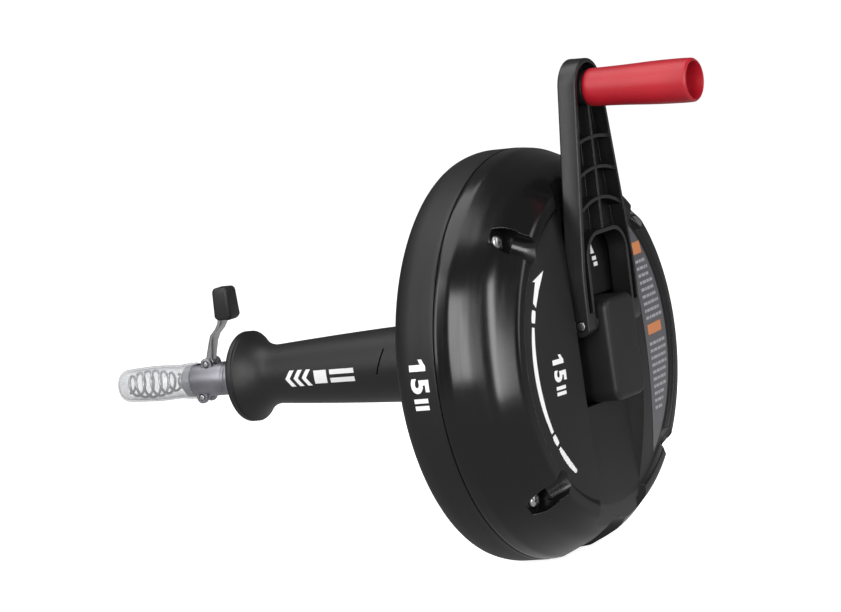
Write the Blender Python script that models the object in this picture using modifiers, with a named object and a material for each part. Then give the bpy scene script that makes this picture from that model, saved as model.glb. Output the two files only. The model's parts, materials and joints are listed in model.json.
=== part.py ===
"""Hand drum auger (drain snake machine) as separate pieces, modelled for Blender 4.5.

All pieces are laid out in the tool's own frame: X runs along the drum's axis, with the
nose at -X and the crank at +X, and X = 0 on the middle of the drum's rear face. The
empty tool_axis puts that frame in the world, so that the drum stands on Z = 0.
"""
import math

import bmesh
import bpy
from mathutils import Vector

MM = 0.001
GAP = 0.3 * MM                    # between pieces that touch, rest on or fill each other
OBJECT_NAME = "drum_auger"

# Drum
DRUM_RADIUS = 102 * MM
DRUM_WALL = 3 * MM
PANEL_RADIUS = 75.5 * MM           # where the domed rear panels meet the rim
PANEL_DROP = 7.5 * MM             # how far the rear panels fall from middle to rim
RIM_RISE = 1.6 * MM
RIM_RADIUS = 86 * MM
RIM_DEPTH = 9.5 * MM              # from the rear face down to the rim's outer edge
SHOULDER_DEPTH = 27 * MM          # the crease between the two rear shoulders
SHOULDER_RADIUS = 97 * MM
PARTING_DEPTH = 43 * MM           # where the two shells meet
PARTING_STEP = 1 * MM
BAND_DEPTH = 58 * MM              # front edge of the cylindrical band
DRUM_DEPTH = 70 * MM              # flat front face
FRONT_FACE_RADIUS = 86 * MM
TONGUE_LENGTH = 4 * MM
TONGUE_WALL = 2 * MM
BOSS_RADIUS = 25 * MM
BOSS_LENGTH = 8 * MM
DRUM_STEPS = 56

# Channel across the rear face, and the well beside the hinge block
CHANNEL_DEPTH = 7 * MM
CHANNEL_HALF_WIDTH = 34 * MM      # at the rear face
CHANNEL_MOUTH_DEPTH = 30 * MM
CHANNEL_MOUTH_HALF_WIDTH = 46 * MM
WELL_DEPTH = 16 * MM

# Hinge block and fold pin
BLOCK_HALF_WIDTH = 15.4 * MM
BLOCK_HALF_HEIGHT = 25.4 * MM
BLOCK_PROUD = 7.8 * MM
BLOCK_ROUNDING = 3.5 * MM
PIN_RADIUS = 2.5 * MM
PIN_X = -1 * MM
PIN_Z = 14.5 * MM
BLOCK_SCREW_SPACING = 34 * MM

# Crank arm
ARM_THICKNESS = 10 * MM
LEG_END_RADIUS = 5.3 * MM         # of the fork's ends, about the fold pin
ARM_HALF_WIDTH = 28 * MM
ARM_STRAIGHT_END_Z = 38 * MM      # above this the arm tapers
ARM_END_RADIUS = 14.5 * MM
ARM_WALL = 2.5 * MM
ARM_RIB = 2 * MM
ARM_RIB_SETBACK = 1 * MM
RIB_FIRST_Z = 74 * MM
RIB_PITCH = 15 * MM
RIB_COUNT = 3
SLOT_HALF_WIDTH = 20 * MM
SLOT_TOP_Z = 57 * MM
SLOT_CORNER_RADIUS = 12 * MM
CRANK_REACH = 128 * MM            # knob's axis above the drum's axis, before the lean
CRANK_LEAN = math.radians(1.7)    # of the upright arm, away from the drum

# Knob
KNOB_LENGTH = 57.5 * MM
KNOB_BASE_RADIUS = 9.3 * MM
KNOB_END_RADIUS = 10.9 * MM
KNOB_BORE_RADIUS = 9.4 * MM
KNOB_HUB = 14 * MM
AXLE_RADIUS = 3 * MM
AXLE_HEAD_RADIUS = 5.5 * MM
AXLE_HEAD_HEIGHT = 3.5 * MM
NUT_RADIUS = 5.6 * MM
NUT_HEIGHT = 2.6 * MM

# The notch in the drum's edge that the folded knob lies in
NEST_RADIUS = 15 * MM
NEST_WALL = 2.5 * MM

# Shell screws
SCREW_CIRCLE_RADIUS = 89 * MM
SCREW_POCKET_RADIUS = 7 * MM
SCREW_POCKET_DEPTH = 22 * MM
SCREW_BOSS_LENGTH = 9 * MM        # of the rear shell's boss under each pocket
SCREW_HEAD_RADIUS = 3.7 * MM
SCREW_HEAD_HEIGHT = 2.4 * MM
SCREW_RADIUS = 1.8 * MM
SCREW_LENGTH = 22 * MM
POST_RADIUS = 4.2 * MM

# Guide tube and grip
TUBE_RADIUS = 6 * MM
TUBE_BORE_RADIUS = 4.7 * MM
FLANGE_RADIUS = 16 * MM
FLANGE_THICKNESS = 3 * MM
FLANGE_SCREW_CIRCLE = 11.5 * MM
WASHER_RADIUS = 17 * MM
WASHER_THICKNESS = 1.6 * MM
GRIP_LENGTH = 130 * MM
GRIP_REAR_RADIUS = 20.5 * MM
GRIP_WAIST_RADIUS = 15 * MM
GRIP_FLANGE_RADIUS = 23 * MM
GRIP_FLANGE_LENGTH = 20 * MM
GRIP_RIM_THICKNESS = 5 * MM
GRIP_WALL = 3 * MM
GRIP_BEARING = 8 * MM

# Nose collar with its cam lever
COLLAR_LENGTH = 35 * MM
COLLAR_RADIUS = 8.6 * MM
SPIGOT_RADIUS = 8.1 * MM
SPIGOT_LENGTH = 6 * MM
COLLAR_SOCKET = 13 * MM
COLLAR_BORE_RADIUS = 4.2 * MM
LUG_RADIUS = 3.2 * MM
LUG_THICKNESS = 2.2 * MM
LEVER_PIN_RADIUS = 1.5 * MM
LEVER_PIN_SETBACK = 20 * MM       # from the collar's rear end to the lever's pin
LOWER_PIN_SETBACK = 25 * MM
COLLAR_PIN_OFFSET = 8.3 * MM      # of both pins from the axis
LEVER_WIDTH = 5 * MM
LEVER_THICKNESS = 2 * MM
LEVER_LEAN = 14 * MM              # how far the lever's top leans back over the flange
LEVER_HEIGHT = 37 * MM
CAM_RADIUS = 3 * MM
CAP_LENGTH = 17 * MM
CAP_HALF_DEPTH = 5.2 * MM
CAP_HALF_WIDTH = 6 * MM
SHOE_THICKNESS = 1.4 * MM

# Cable
CABLE_RADIUS = 3.175 * MM
CABLE_LENGTH = 4572 * MM
COIL_OUTER_RADIUS = 74 * MM
COIL_INNER_RADIUS = 62 * MM
COIL_REAR_DEPTH = 22 * MM
COIL_FRONT_DEPTH = 59.5 * MM
COIL_EXIT_DEPTH = 54 * MM
COIL_POINTS_PER_TURN = 17
FERRULE_RADIUS = 4 * MM
FERRULE_LENGTH = 4 * MM
BULB_WIRE_RADIUS = 0.7 * MM
BULB_RADIUS = 6.8 * MM
BULB_LENGTH = 32 * MM
BULB_TURNS = 6.5
BULB_POINTS_PER_TURN = 12
TIP_CAP_WALL = 0.9 * MM
TIP_CAP_LENGTH = 45 * MM

# Places that follow from the sizes above
FRONT_BOSS_X = -(DRUM_DEPTH + BOSS_LENGTH)
GRIP_REAR_X = FRONT_BOSS_X - 2 * GAP - WASHER_THICKNESS
GRIP_FRONT_X = GRIP_REAR_X - GRIP_LENGTH
COLLAR_REAR_X = GRIP_FRONT_X - 2 * GAP
COLLAR_FRONT_X = COLLAR_REAR_X - COLLAR_LENGTH
TUBE_FRONT_X = COLLAR_REAR_X - COLLAR_SOCKET + GAP
TIP_CAP_REAR_X = COLLAR_FRONT_X + SPIGOT_LENGTH - GAP
TIP_CAP_FRONT_X = TIP_CAP_REAR_X - TIP_CAP_LENGTH
ARM_REAR_X = PIN_X + ARM_THICKNESS / 2
ARM_FRONT_X = PIN_X - ARM_THICKNESS / 2
KNOB_FRONT_X = ARM_REAR_X + GAP
KNOB_END_X = KNOB_FRONT_X + KNOB_LENGTH
NEST_Z = CRANK_REACH - 2 * PIN_Z  # below the axis, where the folded knob's axis lies
NEST_EDGE = (DRUM_RADIUS ** 2 - NEST_RADIUS ** 2 + NEST_Z ** 2) / (2 * NEST_Z)
STAND_HEIGHT = min(NEST_EDGE, DRUM_RADIUS)
REAR_END_X = (PIN_X + (KNOB_END_X - PIN_X) * math.cos(CRANK_LEAN)
              + (CRANK_REACH - PIN_Z + KNOB_END_RADIUS) * math.sin(CRANK_LEAN))
TOOL_X = -(REAR_END_X + TIP_CAP_FRONT_X) / 2
LEVER_PIN_X = COLLAR_REAR_X - LEVER_PIN_SETBACK
LOWER_PIN_X = COLLAR_REAR_X - LOWER_PIN_SETBACK

ALONG_X = (0, math.pi / 2, 0)     # turns a shape's own Z onto the tool's X
ALONG_Y = (math.pi / 2, 0, 0)
FACING_X = (math.pi / 2, 0, math.pi / 2)
LOOKS = {
    "drum_black": ((0.012, 0.012, 0.014), 0.35, 0.0),
    "satin_black": ((0.014, 0.014, 0.015), 0.55, 0.0),
    "knob_red": ((0.55, 0.01, 0.03), 0.4, 0.0),
    "bright_steel": ((0.62, 0.62, 0.64), 0.3, 1.0),
    "cable_steel": ((0.4, 0.4, 0.42), 0.4, 1.0),
    "clear_vinyl": ((0.9, 0.92, 0.93), 0.1, 0.0),
    "black_vinyl": ((0.01, 0.01, 0.01), 0.5, 0.0),
    "white_nylon": ((0.8, 0.79, 0.75), 0.5, 0.0),
}


class Bench:
    """The collections and empties that the pieces go into."""

    def __init__(self):
        self.parts = self.collection(OBJECT_NAME)
        self.cutters = self.collection(OBJECT_NAME + "_cutters")
        self.places = {}
        self.empties = {}

    def collection(self, name):
        made = bpy.data.collections.new(name)
        bpy.context.scene.collection.children.link(made)
        return made

    def joint(self, name, place, parent=None):
        """An empty at a place in the tool's frame, such as a joint's axis."""
        empty = bpy.data.objects.new(name, None)
        self.parts.objects.link(empty)
        self.places[name] = Vector(place)
        self.empties[name] = empty
        if parent:
            empty.parent = self.empties[parent]
            empty.location = self.places[name] - self.places[parent]

    def put(self, thing, joint, place, turn=(0, 0, 0)):
        """Places a piece in the tool's frame, under the empty that it moves with."""
        thing.parent = self.empties[joint]
        thing.location = Vector(place) - self.places[joint]
        thing.rotation_euler = turn


def clear_scene():
    for thing in list(bpy.data.objects):
        bpy.data.objects.remove(thing, do_unlink=True)


def material(piece, look):
    colour, roughness, metallic = LOOKS[look]
    made = bpy.data.materials.new(piece + "_" + look)
    made.use_nodes = True
    shader = made.node_tree.nodes["Principled BSDF"]
    shader.inputs["Base Color"].default_value = (*colour, 1.0)
    shader.inputs["Roughness"].default_value = roughness
    shader.inputs["Metallic"].default_value = metallic
    return made


def new_piece(bench, name, mesh, look, joint, place=(0, 0, 0), turn=(0, 0, 0)):
    thing = bpy.data.objects.new(name, mesh)
    bench.parts.objects.link(thing)
    mesh.materials.append(material(name, look))
    bench.put(thing, joint, place, turn)
    return thing


def new_cutter(bench, name, mesh, place=(0, 0, 0), turn=(0, 0, 0), joint="tool_axis"):
    thing = bpy.data.objects.new("cut_" + name, mesh)
    bench.cutters.objects.link(thing)
    thing.hide_render = True
    thing.display_type = "WIRE"
    bench.put(thing, joint, place, turn)
    return thing


def combine(thing, other, operation="DIFFERENCE"):
    step = thing.modifiers.new(operation.title(), "BOOLEAN")
    step.operation = operation
    step.solver = "EXACT"
    step.object = other


def finish_mesh(build, name):
    mesh = bpy.data.meshes.new(name)
    build.to_mesh(mesh)
    build.free()
    return mesh


def soften(mesh):
    mesh.shade_smooth()
    mesh.set_sharp_from_angle(angle=math.radians(30))


def profile_mesh(name, profile, closed):
    """The profile's (x, radius) points as a wire; its own Z becomes the tool's X."""
    build = bmesh.new()
    points = [build.verts.new((radius, 0, x)) for x, radius in profile]
    pairs = list(zip(points, points[1:]))
    if closed:
        pairs.append((points[-1], points[0]))
    for first, second in pairs:
        build.edges.new((first, second))
    return finish_mesh(build, name)


def turn_profile(thing, steps):
    screw = thing.modifiers.new("Turn", "SCREW")
    screw.axis = "Z"
    screw.angle = 2 * math.pi
    screw.steps = steps
    screw.render_steps = steps
    screw.use_merge_vertices = True
    screw.merge_threshold = 0.00001
    screw.use_smooth_shade = True


def turned(bench, name, profile, look, joint="tool_axis", place=(0, 0, 0), steps=40,
           closed=True, turn=ALONG_X):
    """A turned piece: the profile runs along its outside from rear to nose, then back."""
    thing = new_piece(bench, name, profile_mesh(name, profile, closed), look, joint, place, turn)
    turn_profile(thing, steps)
    return thing


def turned_cutter(bench, name, profile, place=(0, 0, 0), steps=40):
    thing = new_cutter(bench, name, profile_mesh(name, profile, False), place, ALONG_X)
    turn_profile(thing, steps)
    return thing


def cylinder_mesh(name, radius, length, sides=24):
    build = bmesh.new()
    bmesh.ops.create_cone(build, cap_ends=True, segments=sides, radius1=radius,
                          radius2=radius, depth=length)
    mesh = finish_mesh(build, name)
    soften(mesh)
    return mesh


def box_mesh(name, size, rounding=0, segments=2):
    build = bmesh.new()
    bmesh.ops.create_cube(build, size=1)
    bmesh.ops.scale(build, vec=size, verts=build.verts)
    if rounding:
        bmesh.ops.bevel(build, geom=list(build.edges), offset=rounding, segments=segments,
                        profile=0.5, affect="EDGES", clamp_overlap=True, material=-1)
    mesh = finish_mesh(build, name)
    soften(mesh)
    return mesh


def box_cutter(bench, name, low, high, joint="tool_axis"):
    low, high = Vector(low), Vector(high)
    mesh = box_mesh(name, high - low)
    return new_cutter(bench, name, mesh, (low + high) / 2, joint=joint)


def rod_cutter(bench, name, radius, start, end, sides=24, joint="tool_axis"):
    """A cylinder along the tool's X or Y between two points, used as a cutter."""
    start, end = Vector(start), Vector(end)
    along = end - start
    turn = ALONG_X if abs(along.x) > abs(along.y) else ALONG_Y
    mesh = cylinder_mesh(name, radius, along.length, sides)
    return new_cutter(bench, name, mesh, (start + end) / 2, turn, joint)


def plate_mesh(name, outline, thickness):
    """A flat outline of (across, up) points, filled and given a thickness."""
    curve = bpy.data.curves.new(name, "CURVE")
    curve.dimensions = "2D"
    curve.fill_mode = "BOTH"
    curve.extrude = thickness / 2
    line = curve.splines.new("POLY")
    line.points.add(len(outline) - 1)
    for point, (across, up) in zip(line.points, outline):
        point.co = (across, up, 0, 1)
    line.use_cyclic_u = True
    return curve_to_mesh(curve, name)


def curve_to_mesh(curve, name):
    holder = bpy.data.objects.new(name + "_outline", curve)
    bpy.context.scene.collection.objects.link(holder)
    bpy.context.view_layer.update()
    viewed = holder.evaluated_get(bpy.context.evaluated_depsgraph_get())
    mesh = bpy.data.meshes.new_from_object(viewed)
    bpy.data.objects.remove(holder, do_unlink=True)
    build = bmesh.new()
    build.from_mesh(mesh)
    bmesh.ops.remove_doubles(build, verts=build.verts, dist=0.00001)
    build.to_mesh(mesh)
    build.free()
    mesh.name = name
    soften(mesh)
    return mesh


def wire_mesh(name, points, radius):
    """A round wire through the points, with filled ends."""
    curve = bpy.data.curves.new(name, "CURVE")
    curve.dimensions = "3D"
    curve.bevel_depth = radius
    curve.bevel_resolution = 2
    curve.use_fill_caps = True
    line = curve.splines.new("POLY")
    line.points.add(len(points) - 1)
    for point, place in zip(line.points, points):
        point.co = (*place, 1)
    return curve_to_mesh(curve, name)


def arc(centre, radius, start, end, count):
    """Points on a circle; the angles are in degrees from the first direction."""
    points = []
    for index in range(count):
        angle = math.radians(start + (end - start) * index / (count - 1))
        points.append((centre[0] + radius * math.cos(angle), centre[1] + radius * math.sin(angle)))
    return points


def offset_inward(profile, wall):
    """The same (x, radius) line moved inward by a wall thickness, with mitred corners."""
    moved = []
    for index, (x, radius) in enumerate(profile):
        before = profile[max(index - 1, 0)]
        after = profile[min(index + 1, len(profile) - 1)]
        normals = []
        for first, second in ((before, (x, radius)), ((x, radius), after)):
            step = Vector((second[0] - first[0], second[1] - first[1]))
            if step.length > 0:
                normals.append(Vector((-step.y, step.x)).normalized())
        mitre = sum(normals, Vector((0, 0))).normalized()
        reach = wall / mitre.dot(normals[0])
        moved.append((x + mitre.x * reach, radius + mitre.y * reach))
    return moved


# ---------------------------------------------------------------- drum shells

def panel_x(radius):
    return -PANEL_DROP * (radius / PANEL_RADIUS) ** 2


def rear_outline():
    """The rear shell's outside from the axis to the parting line."""
    panel = [(panel_x(share * PANEL_RADIUS / 5), share * PANEL_RADIUS / 5) for share in range(6)]
    rim_width = RIM_RADIUS - PANEL_RADIUS
    rim = [(panel_x(PANEL_RADIUS) + RIM_RISE, PANEL_RADIUS + 0.2 * rim_width),
           (panel_x(PANEL_RADIUS) + 0.5 * RIM_RISE, PANEL_RADIUS + 0.7 * rim_width),
           (-RIM_DEPTH, RIM_RADIUS)]
    parting_radius = DRUM_RADIUS - PARTING_STEP
    crease_depth = (SHOULDER_DEPTH + 1.3 * PARTING_DEPTH) / 2.3
    middle = ((RIM_DEPTH + SHOULDER_DEPTH) / 2 - 1 * MM, (RIM_RADIUS + SHOULDER_RADIUS) / 2 + 1 * MM)
    shoulder = [(-middle[0], middle[1]),
                (-SHOULDER_DEPTH, SHOULDER_RADIUS),
                (-crease_depth, parting_radius),
                (-PARTING_DEPTH, DRUM_RADIUS)]
    return panel + rim + shoulder


def front_outline():
    """The front shell's outside from the parting line to the flat front face."""
    shoulder_drop = DRUM_RADIUS - FRONT_FACE_RADIUS
    shoulder_run = DRUM_DEPTH - BAND_DEPTH
    bend = [(-BAND_DEPTH - shoulder_run * math.sin(angle),
             FRONT_FACE_RADIUS + shoulder_drop * math.cos(angle))
            for angle in (math.radians(30 * step) for step in range(4))]
    return [(-PARTING_DEPTH - GAP, DRUM_RADIUS)] + bend


def arm_half_width(z):
    """The arm's half width at a height above the drum's axis."""
    taper_end = CRANK_REACH
    share = (abs(z) - ARM_STRAIGHT_END_Z) / (taper_end - ARM_STRAIGHT_END_Z)
    share = max(0, min(1, share))
    return ARM_HALF_WIDTH + share * (ARM_END_RADIUS - ARM_HALF_WIDTH)


def channel_mesh(name, wall):
    """The trough across the rear face, which narrows with the arm and opens at the rim.

    With a wall, it is the same trough with that much more on its floor and sides.
    """
    clearance = 1.2 * MM
    top_x = 12 * MM
    stations = [0, ARM_STRAIGHT_END_Z + 6 * MM, PANEL_RADIUS - 6 * MM]
    sections = []
    for z in stations:
        floor = arm_half_width(z) + clearance
        slope = (CHANNEL_HALF_WIDTH - floor) / CHANNEL_DEPTH
        sections.append((z, floor, -CHANNEL_DEPTH, CHANNEL_HALF_WIDTH + slope * top_x))
    rim_floor = arm_half_width(RIM_RADIUS) + clearance
    sections.append((RIM_RADIUS + 3 * MM, rim_floor, -RIM_DEPTH - 3 * MM, CHANNEL_MOUTH_HALF_WIDTH))
    outside = DRUM_RADIUS + 12 * MM
    sections.append((outside, rim_floor + 2 * MM, -CHANNEL_MOUTH_DEPTH,
                     CHANNEL_MOUTH_HALF_WIDTH + 8 * MM))
    whole = [(-z, *rest) for z, *rest in reversed(sections[1:])] + sections
    build = bmesh.new()
    rings = []
    for z, floor, floor_x, top in whole:
        side = wall * 1.2
        corners = [(floor_x - wall, floor + side), (top_x, top + side),
                   (top_x, -top - side), (floor_x - wall, -floor - side)]
        rings.append([build.verts.new((x, y, z)) for x, y in corners])
    for low, high in zip(rings, rings[1:]):
        for index in range(4):
            after = (index + 1) % 4
            build.faces.new((low[index], low[after], high[after], high[index]))
    build.faces.new(rings[0])
    build.faces.new(list(reversed(rings[-1])))
    bmesh.ops.recalc_face_normals(build, faces=build.faces)
    return finish_mesh(build, name)


def screw_places():
    """The four shell screws, midway between the channel and the sides."""
    reach = SCREW_CIRCLE_RADIUS * math.sqrt(0.5)
    return [(y, z) for y in (-reach, reach) for z in (-reach, reach)]


def nest_cutter(bench, name, radius, start_x=20 * MM, end_x=-DRUM_DEPTH - 20 * MM):
    return rod_cutter(bench, name, radius, (start_x, 0, -NEST_Z), (end_x, 0, -NEST_Z), 32)


def build_rear_shell(bench):
    outside = rear_outline()
    inner_radius = DRUM_RADIUS - DRUM_WALL
    tongue_radius = inner_radius - GAP * 1.5
    tongue_end = -PARTING_DEPTH - TONGUE_LENGTH
    profile = outside + [(-PARTING_DEPTH, tongue_radius), (tongue_end, tongue_radius),
                         (tongue_end, 0)]
    shell = turned(bench, "rear_shell", profile, "drum_black", steps=DRUM_STEPS, closed=False)

    bore = tongue_radius - TONGUE_WALL
    inside = [point for point in offset_inward(outside, DRUM_WALL) if point[1] < bore]
    inside[0] = (inside[0][0], 0)
    past_end = tongue_end - 1 * MM
    cavity_profile = inside + [(inside[-1][0] - 6 * MM, bore), (past_end, bore), (past_end, 0)]
    cavity = turned_cutter(bench, "rear_cavity", cavity_profile, steps=DRUM_STEPS)
    combine(cavity, new_cutter(bench, "channel_wall", channel_mesh("channel_wall", DRUM_WALL)))
    well_half_width = ARM_HALF_WIDTH + 1.5 * MM
    well_half_height = BLOCK_HALF_HEIGHT + 0.6 * MM
    wall = DRUM_WALL
    combine(cavity, box_cutter(bench, "well_wall",
                               (-WELL_DEPTH - wall, -well_half_width - wall, -well_half_height - wall),
                               (10 * MM, well_half_width + wall, well_half_height + wall)))
    combine(cavity, nest_cutter(bench, "rear_nest_wall", NEST_RADIUS + NEST_WALL,
                                end_x=-PARTING_DEPTH))
    for index, (y, z) in enumerate(screw_places()):
        combine(cavity, rod_cutter(bench, "pocket_wall_%d" % index, SCREW_POCKET_RADIUS + 2 * MM,
                                   (10 * MM, y, z), (-SCREW_POCKET_DEPTH - SCREW_BOSS_LENGTH, y, z)))
    combine(shell, cavity)
    combine(shell, new_cutter(bench, "channel", channel_mesh("channel", 0)))
    combine(shell, box_cutter(bench, "well", (-WELL_DEPTH, -well_half_width, -well_half_height),
                              (10 * MM, well_half_width, well_half_height)))
    combine(shell, nest_cutter(bench, "rear_nest", NEST_RADIUS))
    combine(shell, nest_cutter(bench, "tongue_gap", NEST_RADIUS + NEST_WALL + GAP, -PARTING_DEPTH))
    for index, (y, z) in enumerate(screw_places()):
        combine(shell, rod_cutter(bench, "pocket_%d" % index, SCREW_POCKET_RADIUS,
                                  (10 * MM, y, z), (-SCREW_POCKET_DEPTH, y, z)))
        combine(shell, rod_cutter(bench, "screw_hole_%d" % index, SCREW_RADIUS + GAP,
                                  (0, y, z), (-SCREW_POCKET_DEPTH - SCREW_BOSS_LENGTH - wall, y, z), 16))
    for index, z in enumerate(block_screw_heights()):
        combine(shell, rod_cutter(bench, "block_hole_%d" % index, SCREW_RADIUS + GAP,
                                  (0, 0, z), (-WELL_DEPTH - 3 * wall, 0, z), 16))


def build_front_shell(bench):
    outside = front_outline()
    face = [(-DRUM_DEPTH, BOSS_RADIUS + 5 * MM), (FRONT_BOSS_X, BOSS_RADIUS), (FRONT_BOSS_X, 0)]
    start = -PARTING_DEPTH - GAP
    shell = turned(bench, "front_shell", [(start, 0)] + outside + face, "drum_black",
                   steps=DRUM_STEPS, closed=False)
    inside = offset_inward(outside, DRUM_WALL)
    back_x = -DRUM_DEPTH + DRUM_WALL
    inside[-1] = (back_x, inside[-1][1])
    cavity_profile = [(start + 1 * MM, 0), (start + 1 * MM, inside[0][1])] + inside[1:] + [(back_x, 0)]
    cavity = turned_cutter(bench, "front_cavity", cavity_profile, steps=DRUM_STEPS)
    combine(cavity, nest_cutter(bench, "front_nest_wall", NEST_RADIUS + NEST_WALL))
    combine(shell, cavity)
    post_top = -SCREW_POCKET_DEPTH - SCREW_BOSS_LENGTH - GAP
    for index, (y, z) in enumerate(screw_places()):
        combine(shell, rod_cutter(bench, "post_%d" % index, POST_RADIUS, (post_top, y, z),
                                  (back_x - 1 * MM, y, z), 16), "UNION")
        combine(shell, rod_cutter(bench, "pilot_%d" % index, SCREW_RADIUS + GAP,
                                  (post_top + 1 * MM, y, z),
                                  (post_top - SCREW_LENGTH, y, z), 16))
    combine(shell, nest_cutter(bench, "front_nest", NEST_RADIUS))
    combine(shell, rod_cutter(bench, "tube_hole", TUBE_RADIUS + GAP, (back_x + 5 * MM, 0, 0),
                              (FRONT_BOSS_X - 5 * MM, 0, 0), 32))
    for index, z in enumerate((-FLANGE_SCREW_CIRCLE, FLANGE_SCREW_CIRCLE)):
        combine(shell, rod_cutter(bench, "flange_pilot_%d" % index, SCREW_RADIUS + GAP,
                                  (back_x + 1 * MM, 0, z), (back_x - 8 * MM, 0, z), 16))


def build_screw(bench, name, seat, length, direction="nose", look="bright_steel", head=None):
    """A screw whose head rests on a seat; it runs towards the nose or the rear from there."""
    head_radius = head or SCREW_HEAD_RADIUS
    flip = -1 if direction == "nose" else 1
    profile = [(-flip * SCREW_HEAD_HEIGHT, 0), (-flip * SCREW_HEAD_HEIGHT, 0.8 * head_radius),
               (-flip * 0.55 * SCREW_HEAD_HEIGHT, head_radius), (0, head_radius),
               (0, SCREW_RADIUS), (flip * length, SCREW_RADIUS), (flip * length, 0)]
    if direction != "nose":
        profile.reverse()
    return turned(bench, name, profile, look, place=seat, steps=16, closed=False)


def build_shell_screws(bench):
    for index, (y, z) in enumerate(screw_places(), 1):
        build_screw(bench, "shell_screw_%d" % index, (-SCREW_POCKET_DEPTH + GAP, y, z), SCREW_LENGTH)


# ---------------------------------------------------------------- hinge block

def block_screw_heights():
    return (-BLOCK_SCREW_SPACING / 2, BLOCK_SCREW_SPACING / 2)


def build_hinge_block(bench):
    floor = -WELL_DEPTH + GAP
    size = (BLOCK_PROUD - floor, 2 * BLOCK_HALF_WIDTH, 2 * BLOCK_HALF_HEIGHT)
    centre = ((BLOCK_PROUD + floor) / 2, 0, 0)
    block = new_piece(bench, "hinge_block", box_mesh("hinge_block", size, BLOCK_ROUNDING, 3),
                      "satin_black", "tool_axis", centre)
    reach = BLOCK_HALF_WIDTH + 5 * MM
    combine(block, rod_cutter(bench, "block_pin_hole", PIN_RADIUS + GAP,
                              (PIN_X, -reach, PIN_Z), (PIN_X, reach, PIN_Z)))
    for index, z in enumerate(block_screw_heights()):
        combine(block, rod_cutter(bench, "block_pilot_%d" % index, SCREW_RADIUS + GAP,
                                  (floor - 1 * MM, 0, z), (floor + 9 * MM, 0, z), 16))
        seat = (-WELL_DEPTH - DRUM_WALL - GAP, 0, z)
        build_screw(bench, "block_screw_%d" % (index + 1), seat, 11 * MM, "rear")


def build_fold_pin(bench):
    length = 2 * (ARM_HALF_WIDTH - 0.5 * MM)
    new_piece(bench, "fold_pin", cylinder_mesh("fold_pin", PIN_RADIUS, length), "bright_steel",
              "tool_axis", (PIN_X, 0, PIN_Z), ALONG_Y)
    inner = BLOCK_HALF_WIDTH + GAP
    outer = SLOT_HALF_WIDTH - GAP
    bore = PIN_RADIUS + GAP
    for side, name in ((-1, "left_spacer"), (1, "right_spacer")):
        half = (outer - inner) / 2
        ring = [(half, bore), (half, 1.8 * PIN_RADIUS), (-half, 1.8 * PIN_RADIUS), (-half, bore)]
        turned(bench, name, ring, "satin_black", place=(PIN_X, side * (inner + half), PIN_Z),
               steps=24, turn=ALONG_Y)


# ---------------------------------------------------------------- crank

def arm_outline(inset):
    """The arm's outline as (across, up) points in the tool's frame."""
    lowest = PIN_Z - LEG_END_RADIUS - 0.5 * MM + inset
    side = ARM_HALF_WIDTH - inset
    rise = CRANK_REACH - ARM_STRAIGHT_END_Z
    lean = math.degrees(math.atan2(ARM_HALF_WIDTH - ARM_END_RADIUS, rise))
    end = arc((0, CRANK_REACH), ARM_END_RADIUS - inset, lean, 180 - lean, 11)
    return ([(side, lowest), (side, ARM_STRAIGHT_END_Z)] + end
            + [(-side, ARM_STRAIGHT_END_Z), (-side, lowest)])


def slot_outline(wall):
    """The slot between the fork's legs, with that much more round it."""
    half = SLOT_HALF_WIDTH + wall
    corner = SLOT_CORNER_RADIUS + wall
    across, up = half - corner, SLOT_TOP_Z + wall - corner
    below = PIN_Z - ARM_THICKNESS
    return ([(half, below)] + arc((across, up), corner, 0, 90, 8)
            + arc((-across, up), corner, 90, 180, 8) + [(-half, below)])


def plate_between(bench, name, outline, low_x, high_x):
    mesh = plate_mesh(name, outline, high_x - low_x)
    return new_cutter(bench, name, mesh, ((low_x + high_x) / 2, 0, 0), FACING_X, "crank_hinge")


def build_arm_pocket(bench):
    """The hollow of the arm's ribbed rear side: everything that its ribs leave free."""
    web_x = ARM_FRONT_X + ARM_WALL
    pocket = plate_between(bench, "arm_pocket", arm_outline(ARM_WALL), web_x, ARM_REAR_X + 3 * MM)
    far = ARM_REAR_X + 5 * MM
    near = ARM_FRONT_X
    combine(pocket, plate_between(bench, "slot_wall", slot_outline(0.8 * ARM_WALL), near, far))
    leg_end = PIN_Z + ARM_THICKNESS / 2 + 1 * MM
    combine(pocket, box_cutter(bench, "leg_ends", (near, -2 * ARM_HALF_WIDTH, 0),
                               (far, 2 * ARM_HALF_WIDTH, leg_end), "crank_hinge"))
    combine(pocket, rod_cutter(bench, "knob_boss", 0.6 * ARM_END_RADIUS, (near, 0, CRANK_REACH),
                               (far, 0, CRANK_REACH), joint="crank_hinge"))
    rib_x = ARM_REAR_X - ARM_RIB_SETBACK
    for index in range(RIB_COUNT):
        z = RIB_FIRST_Z + index * RIB_PITCH
        combine(pocket, box_cutter(bench, "rib_%d" % index, (near, -ARM_HALF_WIDTH, z - ARM_RIB / 2),
                                   (rib_x, ARM_HALF_WIDTH, z + ARM_RIB / 2), "crank_hinge"))
    combine(pocket, box_cutter(bench, "spine", (near, -ARM_RIB / 2, SLOT_TOP_Z),
                               (rib_x, ARM_RIB / 2, CRANK_REACH), "crank_hinge"))
    return pocket


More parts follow.
